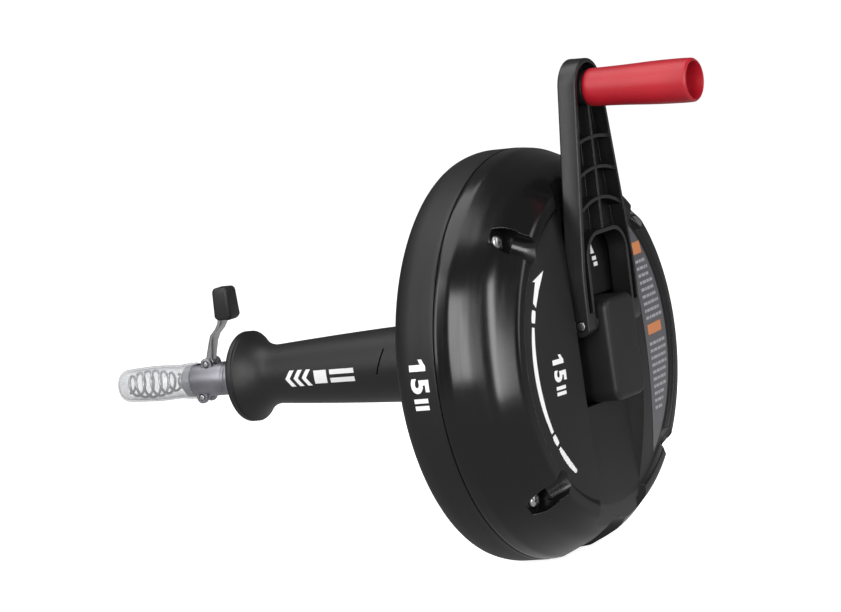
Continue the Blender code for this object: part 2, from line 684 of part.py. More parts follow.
def build_arm(bench):
    mesh = plate_mesh("crank_arm", arm_outline(0), ARM_THICKNESS)
    arm = new_piece(bench, "crank_arm", mesh, "satin_black", "crank_hinge", (PIN_X, 0, 0), FACING_X)
    past = 5 * MM
    combine(arm, build_arm_pocket(bench))
    combine(arm, plate_between(bench, "slot", slot_outline(0), ARM_FRONT_X - past, ARM_REAR_X + past))
    reach = ARM_HALF_WIDTH + past
    combine(arm, rod_cutter(bench, "arm_pin_hole", PIN_RADIUS + GAP, (PIN_X, -reach, PIN_Z),
                            (PIN_X, reach, PIN_Z), joint="crank_hinge"))
    for index, side in enumerate((-1, 1)):
        combine(arm, build_leg_rounding(bench, "leg_rounding_%d" % index, side))
    combine(arm, rod_cutter(bench, "axle_hole", AXLE_RADIUS + GAP, (ARM_FRONT_X - past, 0, CRANK_REACH),
                            (ARM_REAR_X + past, 0, CRANK_REACH), joint="crank_hinge"))
    combine(arm, rod_cutter(bench, "nut_recess", NUT_RADIUS + 2 * GAP,
                            (ARM_FRONT_X - past, 0, CRANK_REACH),
                            (ARM_FRONT_X + NUT_HEIGHT + 2 * GAP, 0, CRANK_REACH),
                            joint="crank_hinge"))


def build_leg_rounding(bench, name, side):
    """What is cut off a fork leg so that its end is round about the fold pin."""
    radius = LEG_END_RADIUS
    below = PIN_Z - radius - 3 * MM
    round_end = arc((PIN_X, PIN_Z), radius, 0, -180, 13)
    outline = round_end + [(PIN_X - radius - 3 * MM, PIN_Z), (PIN_X - radius - 3 * MM, below),
                           (PIN_X + radius + 3 * MM, below), (PIN_X + radius + 3 * MM, PIN_Z)]
    inner = SLOT_HALF_WIDTH - 2 * MM
    outer = ARM_HALF_WIDTH + 2 * MM
    mesh = plate_mesh(name, outline, outer - inner)
    return new_cutter(bench, name, mesh, (0, side * (inner + outer) / 2, 0), ALONG_Y, "crank_hinge")


def build_knob(bench):
    hub_end = KNOB_FRONT_X + KNOB_HUB
    place = (0, 0, CRANK_REACH)
    waist = KNOB_BASE_RADIUS + 0.6 * MM
    lip = 2 * MM
    bore = AXLE_RADIUS + GAP
    profile = [(KNOB_END_X, KNOB_BORE_RADIUS), (KNOB_END_X, KNOB_END_RADIUS - 1 * MM),
               (KNOB_END_X - 1 * MM, KNOB_END_RADIUS), (KNOB_END_X - 4 * MM, KNOB_END_RADIUS),
               (KNOB_FRONT_X + 0.65 * KNOB_LENGTH, waist + 0.9 * MM),
               (KNOB_FRONT_X + 0.35 * KNOB_LENGTH, waist), (KNOB_FRONT_X + lip, KNOB_BASE_RADIUS),
               (KNOB_FRONT_X, KNOB_BASE_RADIUS - 0.8 * MM), (KNOB_FRONT_X, bore), (hub_end, bore),
               (hub_end, KNOB_BORE_RADIUS - 3 * MM),
               (KNOB_FRONT_X + 0.65 * KNOB_LENGTH, KNOB_BORE_RADIUS - 1.6 * MM),
               (KNOB_END_X - 6 * MM, KNOB_BORE_RADIUS - 0.4 * MM)]
    turned(bench, "crank_knob", profile, "knob_red", "knob_axis", place)
    seat = hub_end + GAP
    foot = ARM_FRONT_X + 2 * GAP
    axle = [(seat + AXLE_HEAD_HEIGHT, 0), (seat + AXLE_HEAD_HEIGHT, 0.8 * AXLE_HEAD_RADIUS),
            (seat + 0.5 * AXLE_HEAD_HEIGHT, AXLE_HEAD_RADIUS), (seat, AXLE_HEAD_RADIUS),
            (seat, AXLE_RADIUS), (foot, AXLE_RADIUS), (foot, 0)]
    turned(bench, "knob_axle", axle, "bright_steel", "crank_hinge", place, 24, False)
    nut_top = ARM_FRONT_X + NUT_HEIGHT + GAP
    nut_bore = (AXLE_RADIUS + GAP) / math.cos(math.pi / 6)
    nut = [(nut_top, nut_bore), (nut_top, NUT_RADIUS), (nut_top - NUT_HEIGHT, NUT_RADIUS),
           (nut_top - NUT_HEIGHT, nut_bore)]
    turned(bench, "axle_nut", nut, "bright_steel", "crank_hinge", place, 6)


# ---------------------------------------------------------------- tube, grip, nose

def build_guide_tube(bench):
    seat = -DRUM_DEPTH + DRUM_WALL + GAP
    flange_x = seat + FLANGE_THICKNESS
    profile = [(flange_x, TUBE_BORE_RADIUS), (flange_x, FLANGE_RADIUS), (seat, FLANGE_RADIUS),
               (seat, TUBE_RADIUS), (TUBE_FRONT_X, TUBE_RADIUS), (TUBE_FRONT_X, TUBE_BORE_RADIUS)]
    tube = turned(bench, "guide_tube", profile, "bright_steel", steps=32)
    for index, z in enumerate((-FLANGE_SCREW_CIRCLE, FLANGE_SCREW_CIRCLE)):
        combine(tube, rod_cutter(bench, "flange_hole_%d" % index, SCREW_RADIUS + GAP,
                                 (flange_x + 2 * MM, 0, z), (seat - 2 * MM, 0, z), 16))
        build_screw(bench, "flange_screw_%d" % (index + 1), (flange_x + GAP, 0, z), 9 * MM,
                    head=3 * MM)
    washer_x = FRONT_BOSS_X - GAP
    bore = TUBE_RADIUS + GAP
    washer = [(washer_x, bore), (washer_x, WASHER_RADIUS),
              (washer_x - WASHER_THICKNESS, WASHER_RADIUS), (washer_x - WASHER_THICKNESS, bore)]
    turned(bench, "thrust_washer", washer, "white_nylon", steps=32)


def grip_outline():
    """The grip's outside from its rear end to the front of its finger flange."""
    waist_x = GRIP_FRONT_X + GRIP_FLANGE_LENGTH
    rim_x = GRIP_FRONT_X + GRIP_RIM_THICKNESS
    rise = GRIP_FLANGE_RADIUS - GRIP_WAIST_RADIUS
    points = [(GRIP_REAR_X, GRIP_REAR_RADIUS - 1.2 * MM), (GRIP_REAR_X - 1.2 * MM, GRIP_REAR_RADIUS)]
    for share in (0.3, 0.65, 1):
        swell = 0.6 * MM * math.sin(math.pi * share)
        points.append((GRIP_REAR_X + share * (waist_x - GRIP_REAR_X),
                       GRIP_REAR_RADIUS + share * (GRIP_WAIST_RADIUS - GRIP_REAR_RADIUS) + swell))
    for share in (0.35, 0.65, 0.85, 1):
        points.append((waist_x + share * (rim_x - waist_x), GRIP_WAIST_RADIUS + rise * share ** 2))
    return points + [(GRIP_FRONT_X + 1 * MM, GRIP_FLANGE_RADIUS),
                     (GRIP_FRONT_X, GRIP_FLANGE_RADIUS - 1 * MM)]


def build_grip(bench):
    outside = grip_outline()
    bore = TUBE_RADIUS + GAP
    waist_x = GRIP_FRONT_X + GRIP_FLANGE_LENGTH
    inside = [(GRIP_FRONT_X, bore), (waist_x - GRIP_BEARING, bore),
              (waist_x - GRIP_BEARING, GRIP_WAIST_RADIUS - GRIP_WALL),
              (waist_x, GRIP_WAIST_RADIUS - GRIP_WALL),
              (GRIP_REAR_X - GRIP_BEARING, GRIP_REAR_RADIUS - GRIP_WALL),
              (GRIP_REAR_X - GRIP_BEARING, bore), (GRIP_REAR_X, bore)]
    turned(bench, "grip_handle", outside + inside, "satin_black", "grip_axis", steps=32)


def lug_cutter(bench, name, x, z, side):
    """One ear of a pin lug: round about its pin, with its root inside the collar."""
    toward_axis = -1 if z > 0 else 1
    root = z + toward_axis * 0.55 * COLLAR_PIN_OFFSET
    rounded = [(px, z - toward_axis * (pz - z)) for px, pz in arc((x, z), LUG_RADIUS, 0, 180, 9)]
    outline = [(x + LUG_RADIUS, root)] + rounded + [(x - LUG_RADIUS, root)]
    inner = LEVER_WIDTH / 2 + 2 * GAP
    mesh = plate_mesh(name, outline, LUG_THICKNESS)
    return new_cutter(bench, name, mesh, (0, side * (inner + LUG_THICKNESS / 2), 0), ALONG_Y)


def build_collar(bench):
    spigot_x = COLLAR_FRONT_X + SPIGOT_LENGTH
    socket_x = COLLAR_REAR_X - COLLAR_SOCKET
    socket_radius = TUBE_RADIUS + GAP
    edge = 0.8 * MM
    profile = [(COLLAR_REAR_X, socket_radius), (COLLAR_REAR_X, COLLAR_RADIUS - edge),
               (COLLAR_REAR_X - edge, COLLAR_RADIUS), (spigot_x, COLLAR_RADIUS),
               (spigot_x, SPIGOT_RADIUS), (COLLAR_FRONT_X + edge, SPIGOT_RADIUS),
               (COLLAR_FRONT_X, SPIGOT_RADIUS - edge), (COLLAR_FRONT_X, COLLAR_BORE_RADIUS),
               (socket_x, COLLAR_BORE_RADIUS), (socket_x, socket_radius)]
    collar = turned(bench, "nose_collar", profile, "bright_steel", steps=32)
    pins = (("lever", LEVER_PIN_X, COLLAR_PIN_OFFSET), ("lower", LOWER_PIN_X, -COLLAR_PIN_OFFSET))
    half = LEVER_WIDTH / 2 + 2 * GAP
    reach = half + LUG_THICKNESS + 2 * MM
    for name, x, z in pins:
        for side in (-1, 1):
            combine(collar, lug_cutter(bench, "%s_lug_%d" % (name, side), x, z, side), "UNION")
        combine(collar, rod_cutter(bench, name + "_pin_hole", LEVER_PIN_RADIUS + GAP,
                                   (x, -reach, z), (x, reach, z), 16))
        new_piece(bench, name + "_pin",
                  cylinder_mesh(name + "_pin", LEVER_PIN_RADIUS, 2 * (half + LUG_THICKNESS + 0.6 * MM), 16),
                  "bright_steel", "tool_axis", (x, 0, z), ALONG_Y)
    swing = CAM_RADIUS + 2 * MM
    combine(collar, box_cutter(bench, "cam_slot", (LEVER_PIN_X - swing - 2 * MM, -half, 0),
                               (LEVER_PIN_X + swing, half, 2 * COLLAR_RADIUS)))


def build_shoe(bench):
    """The pad that the cam presses onto the cable."""
    low = CABLE_RADIUS + 2 * GAP
    length = 2 * CAM_RADIUS + 2 * MM
    size = (length, LEVER_WIDTH, SHOE_THICKNESS)
    new_piece(bench, "clamp_shoe", box_mesh("clamp_shoe", size), "bright_steel", "tool_axis",
              (LEVER_PIN_X, 0, low + SHOE_THICKNESS / 2))


def build_lever(bench):
    """The bent lever: a cam about its pin and a strip that leans back over the flange."""
    half = LEVER_THICKNESS / 2
    knee = (LEVER_PIN_X + 0.25 * LEVER_LEAN, COLLAR_PIN_OFFSET + 0.3 * LEVER_HEIGHT)
    bend = (LEVER_PIN_X + 0.75 * LEVER_LEAN, COLLAR_PIN_OFFSET + 0.55 * LEVER_HEIGHT)
    top = (LEVER_PIN_X + LEVER_LEAN, COLLAR_PIN_OFFSET + LEVER_HEIGHT)
    cam = arc((LEVER_PIN_X, COLLAR_PIN_OFFSET), CAM_RADIUS, 110, 400, 15)
    outline = cam + [(x + half, z) for x, z in (knee, bend, top)]
    outline += [(x - half, z) for x, z in (top, bend, knee)]
    mesh = plate_mesh("lock_lever", outline, LEVER_WIDTH)
    lever = new_piece(bench, "lock_lever", mesh, "bright_steel", "lever_hinge", (0, 0, 0), ALONG_Y)
    reach = LEVER_WIDTH
    combine(lever, rod_cutter(bench, "lever_hole", LEVER_PIN_RADIUS + GAP,
                              (LEVER_PIN_X, -reach, COLLAR_PIN_OFFSET),
                              (LEVER_PIN_X, reach, COLLAR_PIN_OFFSET), 16, "lever_hinge"))
    cap_low = top[1] + 1.5 * MM - CAP_LENGTH
    size = (2 * CAP_HALF_DEPTH, 2 * CAP_HALF_WIDTH, CAP_LENGTH)
    place = (top[0], 0, cap_low + CAP_LENGTH / 2)
    cap = new_piece(bench, "lever_cap", box_mesh("lever_cap", size, 2.5 * MM, 2), "black_vinyl",
                    "lever_hinge", place)
    lean_back = (top[0] - bend[0]) * (top[1] - cap_low) / (top[1] - bend[1])
    combine(cap, box_cutter(bench, "cap_pocket",
                            (top[0] - lean_back - half - GAP, -LEVER_WIDTH / 2 - GAP, cap_low - 1 * MM),
                            (top[0] + half + GAP, LEVER_WIDTH / 2 + GAP, top[1] + GAP), "lever_hinge"))


# ---------------------------------------------------------------- cable

def coil_turns():
    """Turns in each of the coil's two layers, from the cable's length."""
    lead = -COIL_EXIT_DEPTH - COLLAR_FRONT_X
    run_in = 0.6 * math.pi * COIL_INNER_RADIUS
    change = math.pi * (COIL_OUTER_RADIUS + COIL_INNER_RADIUS) / 2
    spare = CABLE_LENGTH - lead - run_in - change
    return spare / (2 * math.pi * (COIL_OUTER_RADIUS + COIL_INNER_RADIUS))


def coil_points():
    """Two layers of turns, then one turn in towards the axis and out of the front."""
    turns = coil_turns()
    depth = COIL_FRONT_DEPTH - COIL_REAR_DEPTH
    drop = COIL_OUTER_RADIUS - COIL_INNER_RADIUS
    stages = ((turns, lambda s: (COIL_REAR_DEPTH + s * depth, COIL_OUTER_RADIUS)),
              (0.5, lambda s: (COIL_FRONT_DEPTH, COIL_OUTER_RADIUS - s * drop)),
              (turns, lambda s: (COIL_FRONT_DEPTH - s * depth, COIL_INNER_RADIUS)),
              (1, lambda s: (COIL_REAR_DEPTH + s * s * (COIL_EXIT_DEPTH - COIL_REAR_DEPTH),
                             COIL_INNER_RADIUS * (1 - s) ** 2.2)))
    points = []
    wound = 0.25
    for turned_by, place in stages:
        count = math.ceil(turned_by * COIL_POINTS_PER_TURN)
        for index in range(0 if not points else 1, count + 1):
            share = index / count
            angle = 2 * math.pi * (wound + share * turned_by)
            back, radius = place(share)
            points.append((-back, radius * math.sin(angle), radius * math.cos(angle)))
        wound += turned_by
    return points


def build_cable(bench):
    new_piece(bench, "cable_coil", wire_mesh("cable_coil", coil_points(), CABLE_RADIUS),
              "cable_steel", "tool_axis")
    size = (COIL_REAR_DEPTH + CABLE_RADIUS - PANEL_DROP - DRUM_WALL - 2 * GAP, 10 * MM, 12 * MM)
    end_tilt = CABLE_RADIUS * math.sin(math.pi / COIL_POINTS_PER_TURN)
    centre = (-COIL_REAR_DEPTH - CABLE_RADIUS + size[0] / 2, COIL_OUTER_RADIUS,
              size[2] / 2 + end_tilt + GAP)
    anchor = new_piece(bench, "cable_anchor", box_mesh("cable_anchor", size), "satin_black",
                       "tool_axis", centre)
    hole_start = COIL_OUTER_RADIUS - size[1]
    combine(anchor, rod_cutter(bench, "anchor_hole", SCREW_RADIUS + GAP,
                               (centre[0], hole_start, centre[2]),
                               (centre[0], COIL_OUTER_RADIUS + 3 * MM, centre[2]), 16))
    length = size[1] / 2 + 2 * MM
    seat = COIL_OUTER_RADIUS - size[1] / 2 - GAP
    profile = [(length, 0), (length, SCREW_RADIUS), (0, SCREW_RADIUS), (0, 3 * MM),
               (-2 * MM, 3 * MM), (-2 * MM, 0)]
    profile = [(-x, radius) for x, radius in reversed(profile)]
    turned(bench, "anchor_screw", profile, "bright_steel", place=(centre[0], seat, centre[2]),
           steps=16, closed=False, turn=ALONG_Y)


def bulb_points():
    """The wound head: a helix whose radius swells in the middle and closes at the tip."""
    start_x = COLLAR_FRONT_X - GAP - FERRULE_LENGTH - GAP - BULB_WIRE_RADIUS
    count = round(BULB_TURNS * BULB_POINTS_PER_TURN)
    points = []
    for index in range(count + 1):
        share = index / count
        radius = BULB_RADIUS * (0.5 + 0.5 * math.sin(math.pi * share ** 1.2)) ** 0.8
        angle = 2 * math.pi * share * BULB_TURNS
        points.append((start_x - share * (BULB_LENGTH - 2 * BULB_WIRE_RADIUS),
                       radius * math.sin(angle), radius * math.cos(angle)))
    return points


def build_cable_lead(bench):
    start = -COIL_EXIT_DEPTH - GAP
    end = COLLAR_FRONT_X - GAP
    mesh = cylinder_mesh("cable_lead", CABLE_RADIUS, start - end, 16)
    new_piece(bench, "cable_lead", mesh, "cable_steel", "cable_slide", ((start + end) / 2, 0, 0),
              ALONG_X)
    ferrule_x = end - GAP
    ferrule = [(ferrule_x, 0), (ferrule_x, FERRULE_RADIUS), (ferrule_x - 0.7 * FERRULE_LENGTH, FERRULE_RADIUS),
               (ferrule_x - FERRULE_LENGTH, 0.8 * FERRULE_RADIUS), (ferrule_x - FERRULE_LENGTH, 0)]
    turned(bench, "head_ferrule", ferrule, "bright_steel", "cable_slide", steps=24, closed=False)
    new_piece(bench, "auger_head", wire_mesh("auger_head", bulb_points(), BULB_WIRE_RADIUS),
              "cable_steel", "cable_slide")


def build_tip_cap(bench):
    inner = SPIGOT_RADIUS + GAP
    outer = inner + TIP_CAP_WALL
    rounding = 0.45 * outer
    outer_end = arc((TIP_CAP_FRONT_X + rounding, outer - rounding), rounding, 90, 180, 5)
    inner_x = TIP_CAP_FRONT_X + TIP_CAP_WALL
    inner_end = arc((inner_x + rounding, inner - rounding), rounding, 180, 90, 5)
    profile = ([(TIP_CAP_REAR_X, inner), (TIP_CAP_REAR_X, outer)] + outer_end
               + [(TIP_CAP_FRONT_X, 0), (inner_x, 0)] + inner_end)
    turned(bench, "tip_cap", profile + [(TIP_CAP_REAR_X, inner)], "clear_vinyl", "cap_slide",
           steps=32, closed=False)


def build():
    clear_scene()
    bench = Bench()
    bench.joint("tool_axis", (0, 0, 0))
    bench.empties["tool_axis"].location = (TOOL_X, 0, STAND_HEIGHT)
    bench.joint("crank_hinge", (PIN_X, 0, PIN_Z), "tool_axis")
    bench.empties["crank_hinge"].rotation_euler = (0, CRANK_LEAN, 0)
    bench.joint("knob_axis", (PIN_X, 0, CRANK_REACH), "crank_hinge")
    bench.joint("grip_axis", (GRIP_REAR_X, 0, 0), "tool_axis")
    bench.joint("lever_hinge", (LEVER_PIN_X, 0, COLLAR_PIN_OFFSET), "tool_axis")
    bench.joint("cable_slide", (COLLAR_FRONT_X, 0, 0), "tool_axis")
    bench.joint("cap_slide", (TIP_CAP_REAR_X, 0, 0), "cable_slide")
    build_rear_shell(bench)
    build_front_shell(bench)
    build_shell_screws(bench)
    build_hinge_block(bench)
    build_fold_pin(bench)
    build_arm(bench)
    build_knob(bench)
    build_guide_tube(bench)
    build_grip(bench)
    build_collar(bench)
    build_shoe(bench)
    build_lever(bench)
    build_cable(bench)
    build_cable_lead(bench)
    build_tip_cap(bench)


build()
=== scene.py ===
"""The hand drum auger's fine pieces, their finishes and a small studio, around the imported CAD.

Every piece is built in the tool's own frame, in metres: X runs along the drum's axis, with
the nose at -X and the crank at +X, and X = 0 on the middle of the drum's rear face. TOOL is
that frame's origin in the model, and each finished mesh is moved there.
"""
import json
import math

import bmesh
import bpy
from mathutils import Matrix, Vector


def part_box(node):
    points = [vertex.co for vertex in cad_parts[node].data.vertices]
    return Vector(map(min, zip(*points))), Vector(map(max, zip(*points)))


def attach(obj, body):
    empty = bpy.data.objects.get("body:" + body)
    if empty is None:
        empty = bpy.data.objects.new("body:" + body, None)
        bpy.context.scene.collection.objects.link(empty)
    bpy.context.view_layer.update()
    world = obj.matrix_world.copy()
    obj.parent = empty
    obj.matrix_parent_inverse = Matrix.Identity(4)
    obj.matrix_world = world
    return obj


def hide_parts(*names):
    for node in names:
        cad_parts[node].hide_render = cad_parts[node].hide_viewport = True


bl_info = {
    "name": "Hand Drum Auger",
    "version": (1, 0, 0),
    "blender": (4, 5, 0),
    "location": "3D View > Sidebar > Auger",
    "description": "Builds a hand drum auger piece by piece, with its finishes and a studio",
    "category": "Object",
}

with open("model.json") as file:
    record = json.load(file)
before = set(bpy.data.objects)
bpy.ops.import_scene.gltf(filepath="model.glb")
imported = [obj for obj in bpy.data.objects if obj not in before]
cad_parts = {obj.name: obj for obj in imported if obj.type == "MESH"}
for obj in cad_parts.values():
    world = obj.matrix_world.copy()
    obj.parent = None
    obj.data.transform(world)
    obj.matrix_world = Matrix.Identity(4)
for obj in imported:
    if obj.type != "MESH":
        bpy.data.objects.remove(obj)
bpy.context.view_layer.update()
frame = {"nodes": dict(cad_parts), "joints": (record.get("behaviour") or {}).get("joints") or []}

MM = 0.001
JOINTS = {joint["name"]: joint for joint in frame["joints"]}
BLOCK_PROUD = 7.8 * MM
TOOL = Vector((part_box("hinge_block")[1].x - BLOCK_PROUD, 0, JOINTS["grip_spin"]["pos_m"][2]))
PIN = Vector(JOINTS["crank_fold"]["pos_m"]) - TOOL
LEAN = math.asin(-JOINTS["knob_spin"]["axis"][2])
LEAN_TURN = (Matrix.Translation(PIN) @ Matrix.Rotation(LEAN, 4, "Y")
             @ Matrix.Translation(-PIN))
LOOKS = {}


def near(node):
    """A CAD node's lowest corner in the tool's frame."""
    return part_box(node)[0] - TOOL


def far(node):
    """A CAD node's highest corner in the tool's frame."""
    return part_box(node)[1] - TOOL


DRUM_RADIUS = far("front_shell").y
TONGUE_X = near("rear_shell").x
PARTING_X = TONGUE_X + 4 * MM
FRONT_FACE_X = -70 * MM
BOSS_X = near("front_shell").x
ARM_FRONT = PIN.x - 5 * MM
ARM_REAR = PIN.x + 5 * MM
REACH = ((Vector(JOINTS["knob_spin"]["pos_m"]) - TOOL - PIN).dot(
    Vector((math.sin(LEAN), 0, math.cos(LEAN)))) + PIN.z)
NEST_Z = 2 * PIN.z - REACH
GRIP_REAR = far("grip_handle").x
GRIP_FRONT = near("grip_handle").x
COLLAR_REAR = far("nose_collar").x
COLLAR_FRONT = near("nose_collar").x
TIP_REAR = far("tip_cap").x
TIP_FRONT = near("tip_cap").x
LEVER_PIN = (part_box("lever_pin")[0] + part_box("lever_pin")[1]) / 2 - TOOL


# ---------------------------------------------------------------- settings

class AugerShapes(bpy.types.PropertyGroup):
    """Sizes of the visible pieces."""
    drum_steps: bpy.props.IntProperty(
        name="Drum Steps", description="Segments round the drum", default=224, min=48)
    small_steps: bpy.props.IntProperty(
        name="Small Steps", description="Segments round the turned small pieces",
        default=72, min=16)
    panel_radius: bpy.props.FloatProperty(
        name="Panel Radius", description="Where the domed rear panels meet the rim",
        default=75.5 * MM, unit="LENGTH")
    panel_drop: bpy.props.FloatProperty(
        name="Panel Drop", description="Fall of the rear panels from middle to rim",
        default=7.5 * MM, unit="LENGTH")
    wall: bpy.props.FloatProperty(
        name="Shell Wall", description="Thickness of the drum shells",
        default=3 * MM, unit="LENGTH")
    pocket_radius: bpy.props.FloatProperty(
        name="Screw Pocket Radius", description="Radius of the four screw pockets",
        default=7 * MM, unit="LENGTH")
    print_height: bpy.props.FloatProperty(
        name="Print Height", description="How far a printed mark stands on its surface",
        default=0.07 * MM, unit="LENGTH")


class AugerColours(bpy.types.PropertyGroup):
    """Colours of the finishes."""
    shell: bpy.props.FloatVectorProperty(
        name="Shell", description="Moulded black of the drum", subtype="COLOR",
        default=(0.0055, 0.0053, 0.0057), min=0, max=1)
    satin: bpy.props.FloatVectorProperty(
        name="Satin", description="Black of the crank, hinge cover and grip",
        subtype="COLOR", default=(0.007, 0.0068, 0.0071), min=0, max=1)
    knob: bpy.props.FloatVectorProperty(
        name="Knob", description="Red of the knob", subtype="COLOR",
        default=(0.45, 0.008, 0.019), min=0, max=1)
    label: bpy.props.FloatVectorProperty(
        name="Label", description="Slate grey of the label", subtype="COLOR",
        default=(0.105, 0.103, 0.117), min=0, max=1)
    header: bpy.props.FloatVectorProperty(
        name="Label Header", description="Orange of the label's two headers",
        subtype="COLOR", default=(0.75, 0.27, 0.1), min=0, max=1)


def shapes():
    return bpy.context.scene.auger_shapes


def colours():
    return bpy.context.scene.auger_colours


# ---------------------------------------------------------------- shader expressions

class Value:
    """A shader socket that adds Math nodes when it stands in an expression."""

    def __init__(self, finish, socket):
        self.finish = finish
        self.socket = socket

    def maths(self, operation, *others, first=None):
        inputs = dict(enumerate((self if first is None else first, *others)))
        if first is not None:
            inputs = {0: first, 1: self}
        return self.finish.node("ShaderNodeMath", {"operation": operation}, inputs)

    def __add__(self, other):
        return self.maths("ADD", other)

    def __radd__(self, other):
        return self.maths("ADD", other)

    def __sub__(self, other):
        return self.maths("SUBTRACT", other)

    def __rsub__(self, other):
        return self.maths("SUBTRACT", first=other)

    def __mul__(self, other):
        return self.maths("MULTIPLY", other)

    def __rmul__(self, other):
        return self.maths("MULTIPLY", other)

    def __truediv__(self, other):
        return self.maths("DIVIDE", other)

    def __pow__(self, other):
        return self.maths("POWER", other)

    def __lt__(self, other):
        return self.maths("LESS_THAN", other)

    def __gt__(self, other):
        return self.maths("GREATER_THAN", other)

    def sine(self):
        return self.maths("SINE")

    def size(self):
        return self.maths("ABSOLUTE")

    def ramp(self, low, high):
        """0 below low, 1 above high and smooth between."""
        return self.finish.node("ShaderNodeMapRange", {"interpolation_type": "SMOOTHSTEP"},
                                {"Value": self, "From Min": low, "From Max": high})


class Finish:
    """One material and the nodes that make it."""

    def __init__(self, name, **constants):
        self.material = bpy.data.materials.new(name)
        self.material.use_nodes = True
        self.tree = self.material.node_tree
        self.shader = self.tree.nodes["Principled BSDF"]
        for socket, value in constants.items():
            self.feed(socket.replace("_", " "), value)
        LOOKS[name] = self.material

    def node(self, kind, settings=None, sockets=None, out=0):
        made = self.tree.nodes.new(kind)
        for key, value in (settings or {}).items():
            setattr(made, key, value)
        for key, value in (sockets or {}).items():
            self.join(made.inputs[key], value)
        return Value(self, made.outputs[out])

    def join(self, socket, value):
        if isinstance(value, Value):
            self.tree.links.new(value.socket, socket)
        else:
            socket.default_value = value

    def feed(self, socket, value):
        if not isinstance(value, (Value, int, float)):
            value = (*value, 1.0)[:4]
        self.join(self.shader.inputs[socket], value)

    def place(self):
        return self.node("ShaderNodeTexCoord", out="Object")

    def along(self, axis):
        """One coordinate in the tool's frame."""
        split = self.node("ShaderNodeSeparateXYZ", None, {0: self.place()}, out=axis)
        return split - TOOL["XYZ".index(axis)]

    def from_axis(self):
        """Distance from the drum's axis."""
        across, up = self.along("Y"), self.along("Z")
        return (across * across + up * up) ** 0.5

    def noise(self, scale, detail=2.0, rough=0.5, stretch=(1, 1, 1)):
        spread = self.node("ShaderNodeMapping", None, {"Vector": self.place(), "Scale": stretch})
        return self.node("ShaderNodeTexNoise", None, {"Vector": spread, "Scale": scale,
                                                      "Detail": detail, "Roughness": rough})

    def mix(self, share, first, second):
        """A blend of two colours."""
        sockets = {"Factor": share, 6: first if isinstance(first, Value) else (*first, 1.0)[:4],
                   7: second if isinstance(second, Value) else (*second, 1.0)[:4]}
        return self.node("ShaderNodeMix", {"data_type": "RGBA"}, sockets, out=2)

    def rounded(self, radius):
        """Surface directions with the sharp edges rounded off."""
        return self.node("ShaderNodeBevel", {"samples": 4}, {"Radius": radius})

    def bump(self, height, distance, strength=1.0, normal=None):
        sockets = {"Height": height, "Distance": distance, "Strength": strength}
        if normal is not None:
            sockets["Normal"] = normal
        made = self.node("ShaderNodeBump", None, sockets)
        self.feed("Normal", made)
        return made


def shell_finish():
    """Black shell plastic: glossy shoulders, a matter band and panels, faint rubbing marks."""
    finish = Finish("shell_black", Specular_IOR_Level=0.42)
    back, radius = finish.along("X"), finish.from_axis()
    band = 1 - back.ramp(-46 * MM, -41 * MM)
    panel = (1 - radius.ramp(76 * MM, 78 * MM)) * back.ramp(-20 * MM, -12 * MM)
    rubbed = finish.noise(38, 4, 0.6, (6, 1, 0.5)).ramp(0.45, 0.75)
    cloud = finish.noise(14, 3)
    grain = finish.noise(1500, 2)
    rough = 0.15 + 0.33 * band + 0.2 * panel + 0.07 * rubbed + 0.08 * cloud
    finish.feed("Roughness", rough)
    tone = colours().shell
    dusty = [channel * 1.6 + 0.001 for channel in tone]
    finish.feed("Base Color", finish.mix(0.25 * rubbed + 0.5 * band * cloud, tone, dusty))
    wave = finish.noise(26, 1)
    height = grain * (0.35 + band) + wave * 0.6
    finish.bump(height, 0.05 * MM, 0.35, finish.rounded(0.7 * MM))
    return finish.material


def satin_finish(name, tone, rough=0.42, grain_scale=1700, edge=0.5 * MM, depth=0.06 * MM):
    """Satin moulded plastic with a fine even grain and slightly rubbed patches."""
    finish = Finish(name)
    cloud = finish.noise(32, 3)
    grain = finish.noise(grain_scale, 2, 0.6)
    finish.feed("Roughness", rough - 0.06 + 0.14 * cloud)
    worn = [channel * 1.6 + 0.001 for channel in tone]
    finish.feed("Base Color", finish.mix(cloud.ramp(0.4, 0.8) * 0.5, tone, worn))
    finish.bump(grain, depth, 0.5, finish.rounded(edge))
    return finish.material


def knob_finish():
    tone = colours().knob
    finish = Finish("knob_red_plastic", Coat_Weight=0.05, Coat_Roughness=0.35)
    cloud = finish.noise(40, 3)
    speck = finish.noise(900, 3, 0.7)
    finish.feed("Roughness", 0.36 + 0.12 * cloud)
    deep = [channel * 0.8 for channel in tone]
    finish.feed("Base Color", finish.mix(cloud.ramp(0.3, 0.8), tone, deep))
    finish.bump(speck, 0.06 * MM, 0.4)
    return finish.material


def metal_finish(name, tone, rough, cast=0.0, scale=260, stretch=(1, 1, 1), depth=0.05 * MM):
    """Bright metal; cast adds the dull mottling of a casting."""
    finish = Finish(name, Metallic=1.0)
    mottle = finish.noise(scale, 4, 0.65, stretch)
    patch = finish.noise(90, 3)
    finish.feed("Roughness", rough + 0.18 * mottle * patch)
    dull = [channel * 0.62 for channel in tone]
    finish.feed("Base Color", finish.mix(patch.ramp(0.35, 0.75) * (0.35 + cast), tone, dull))
    finish.bump(mottle, depth, 0.25 + 0.5 * cast, finish.rounded(0.25 * MM))
    return finish.material


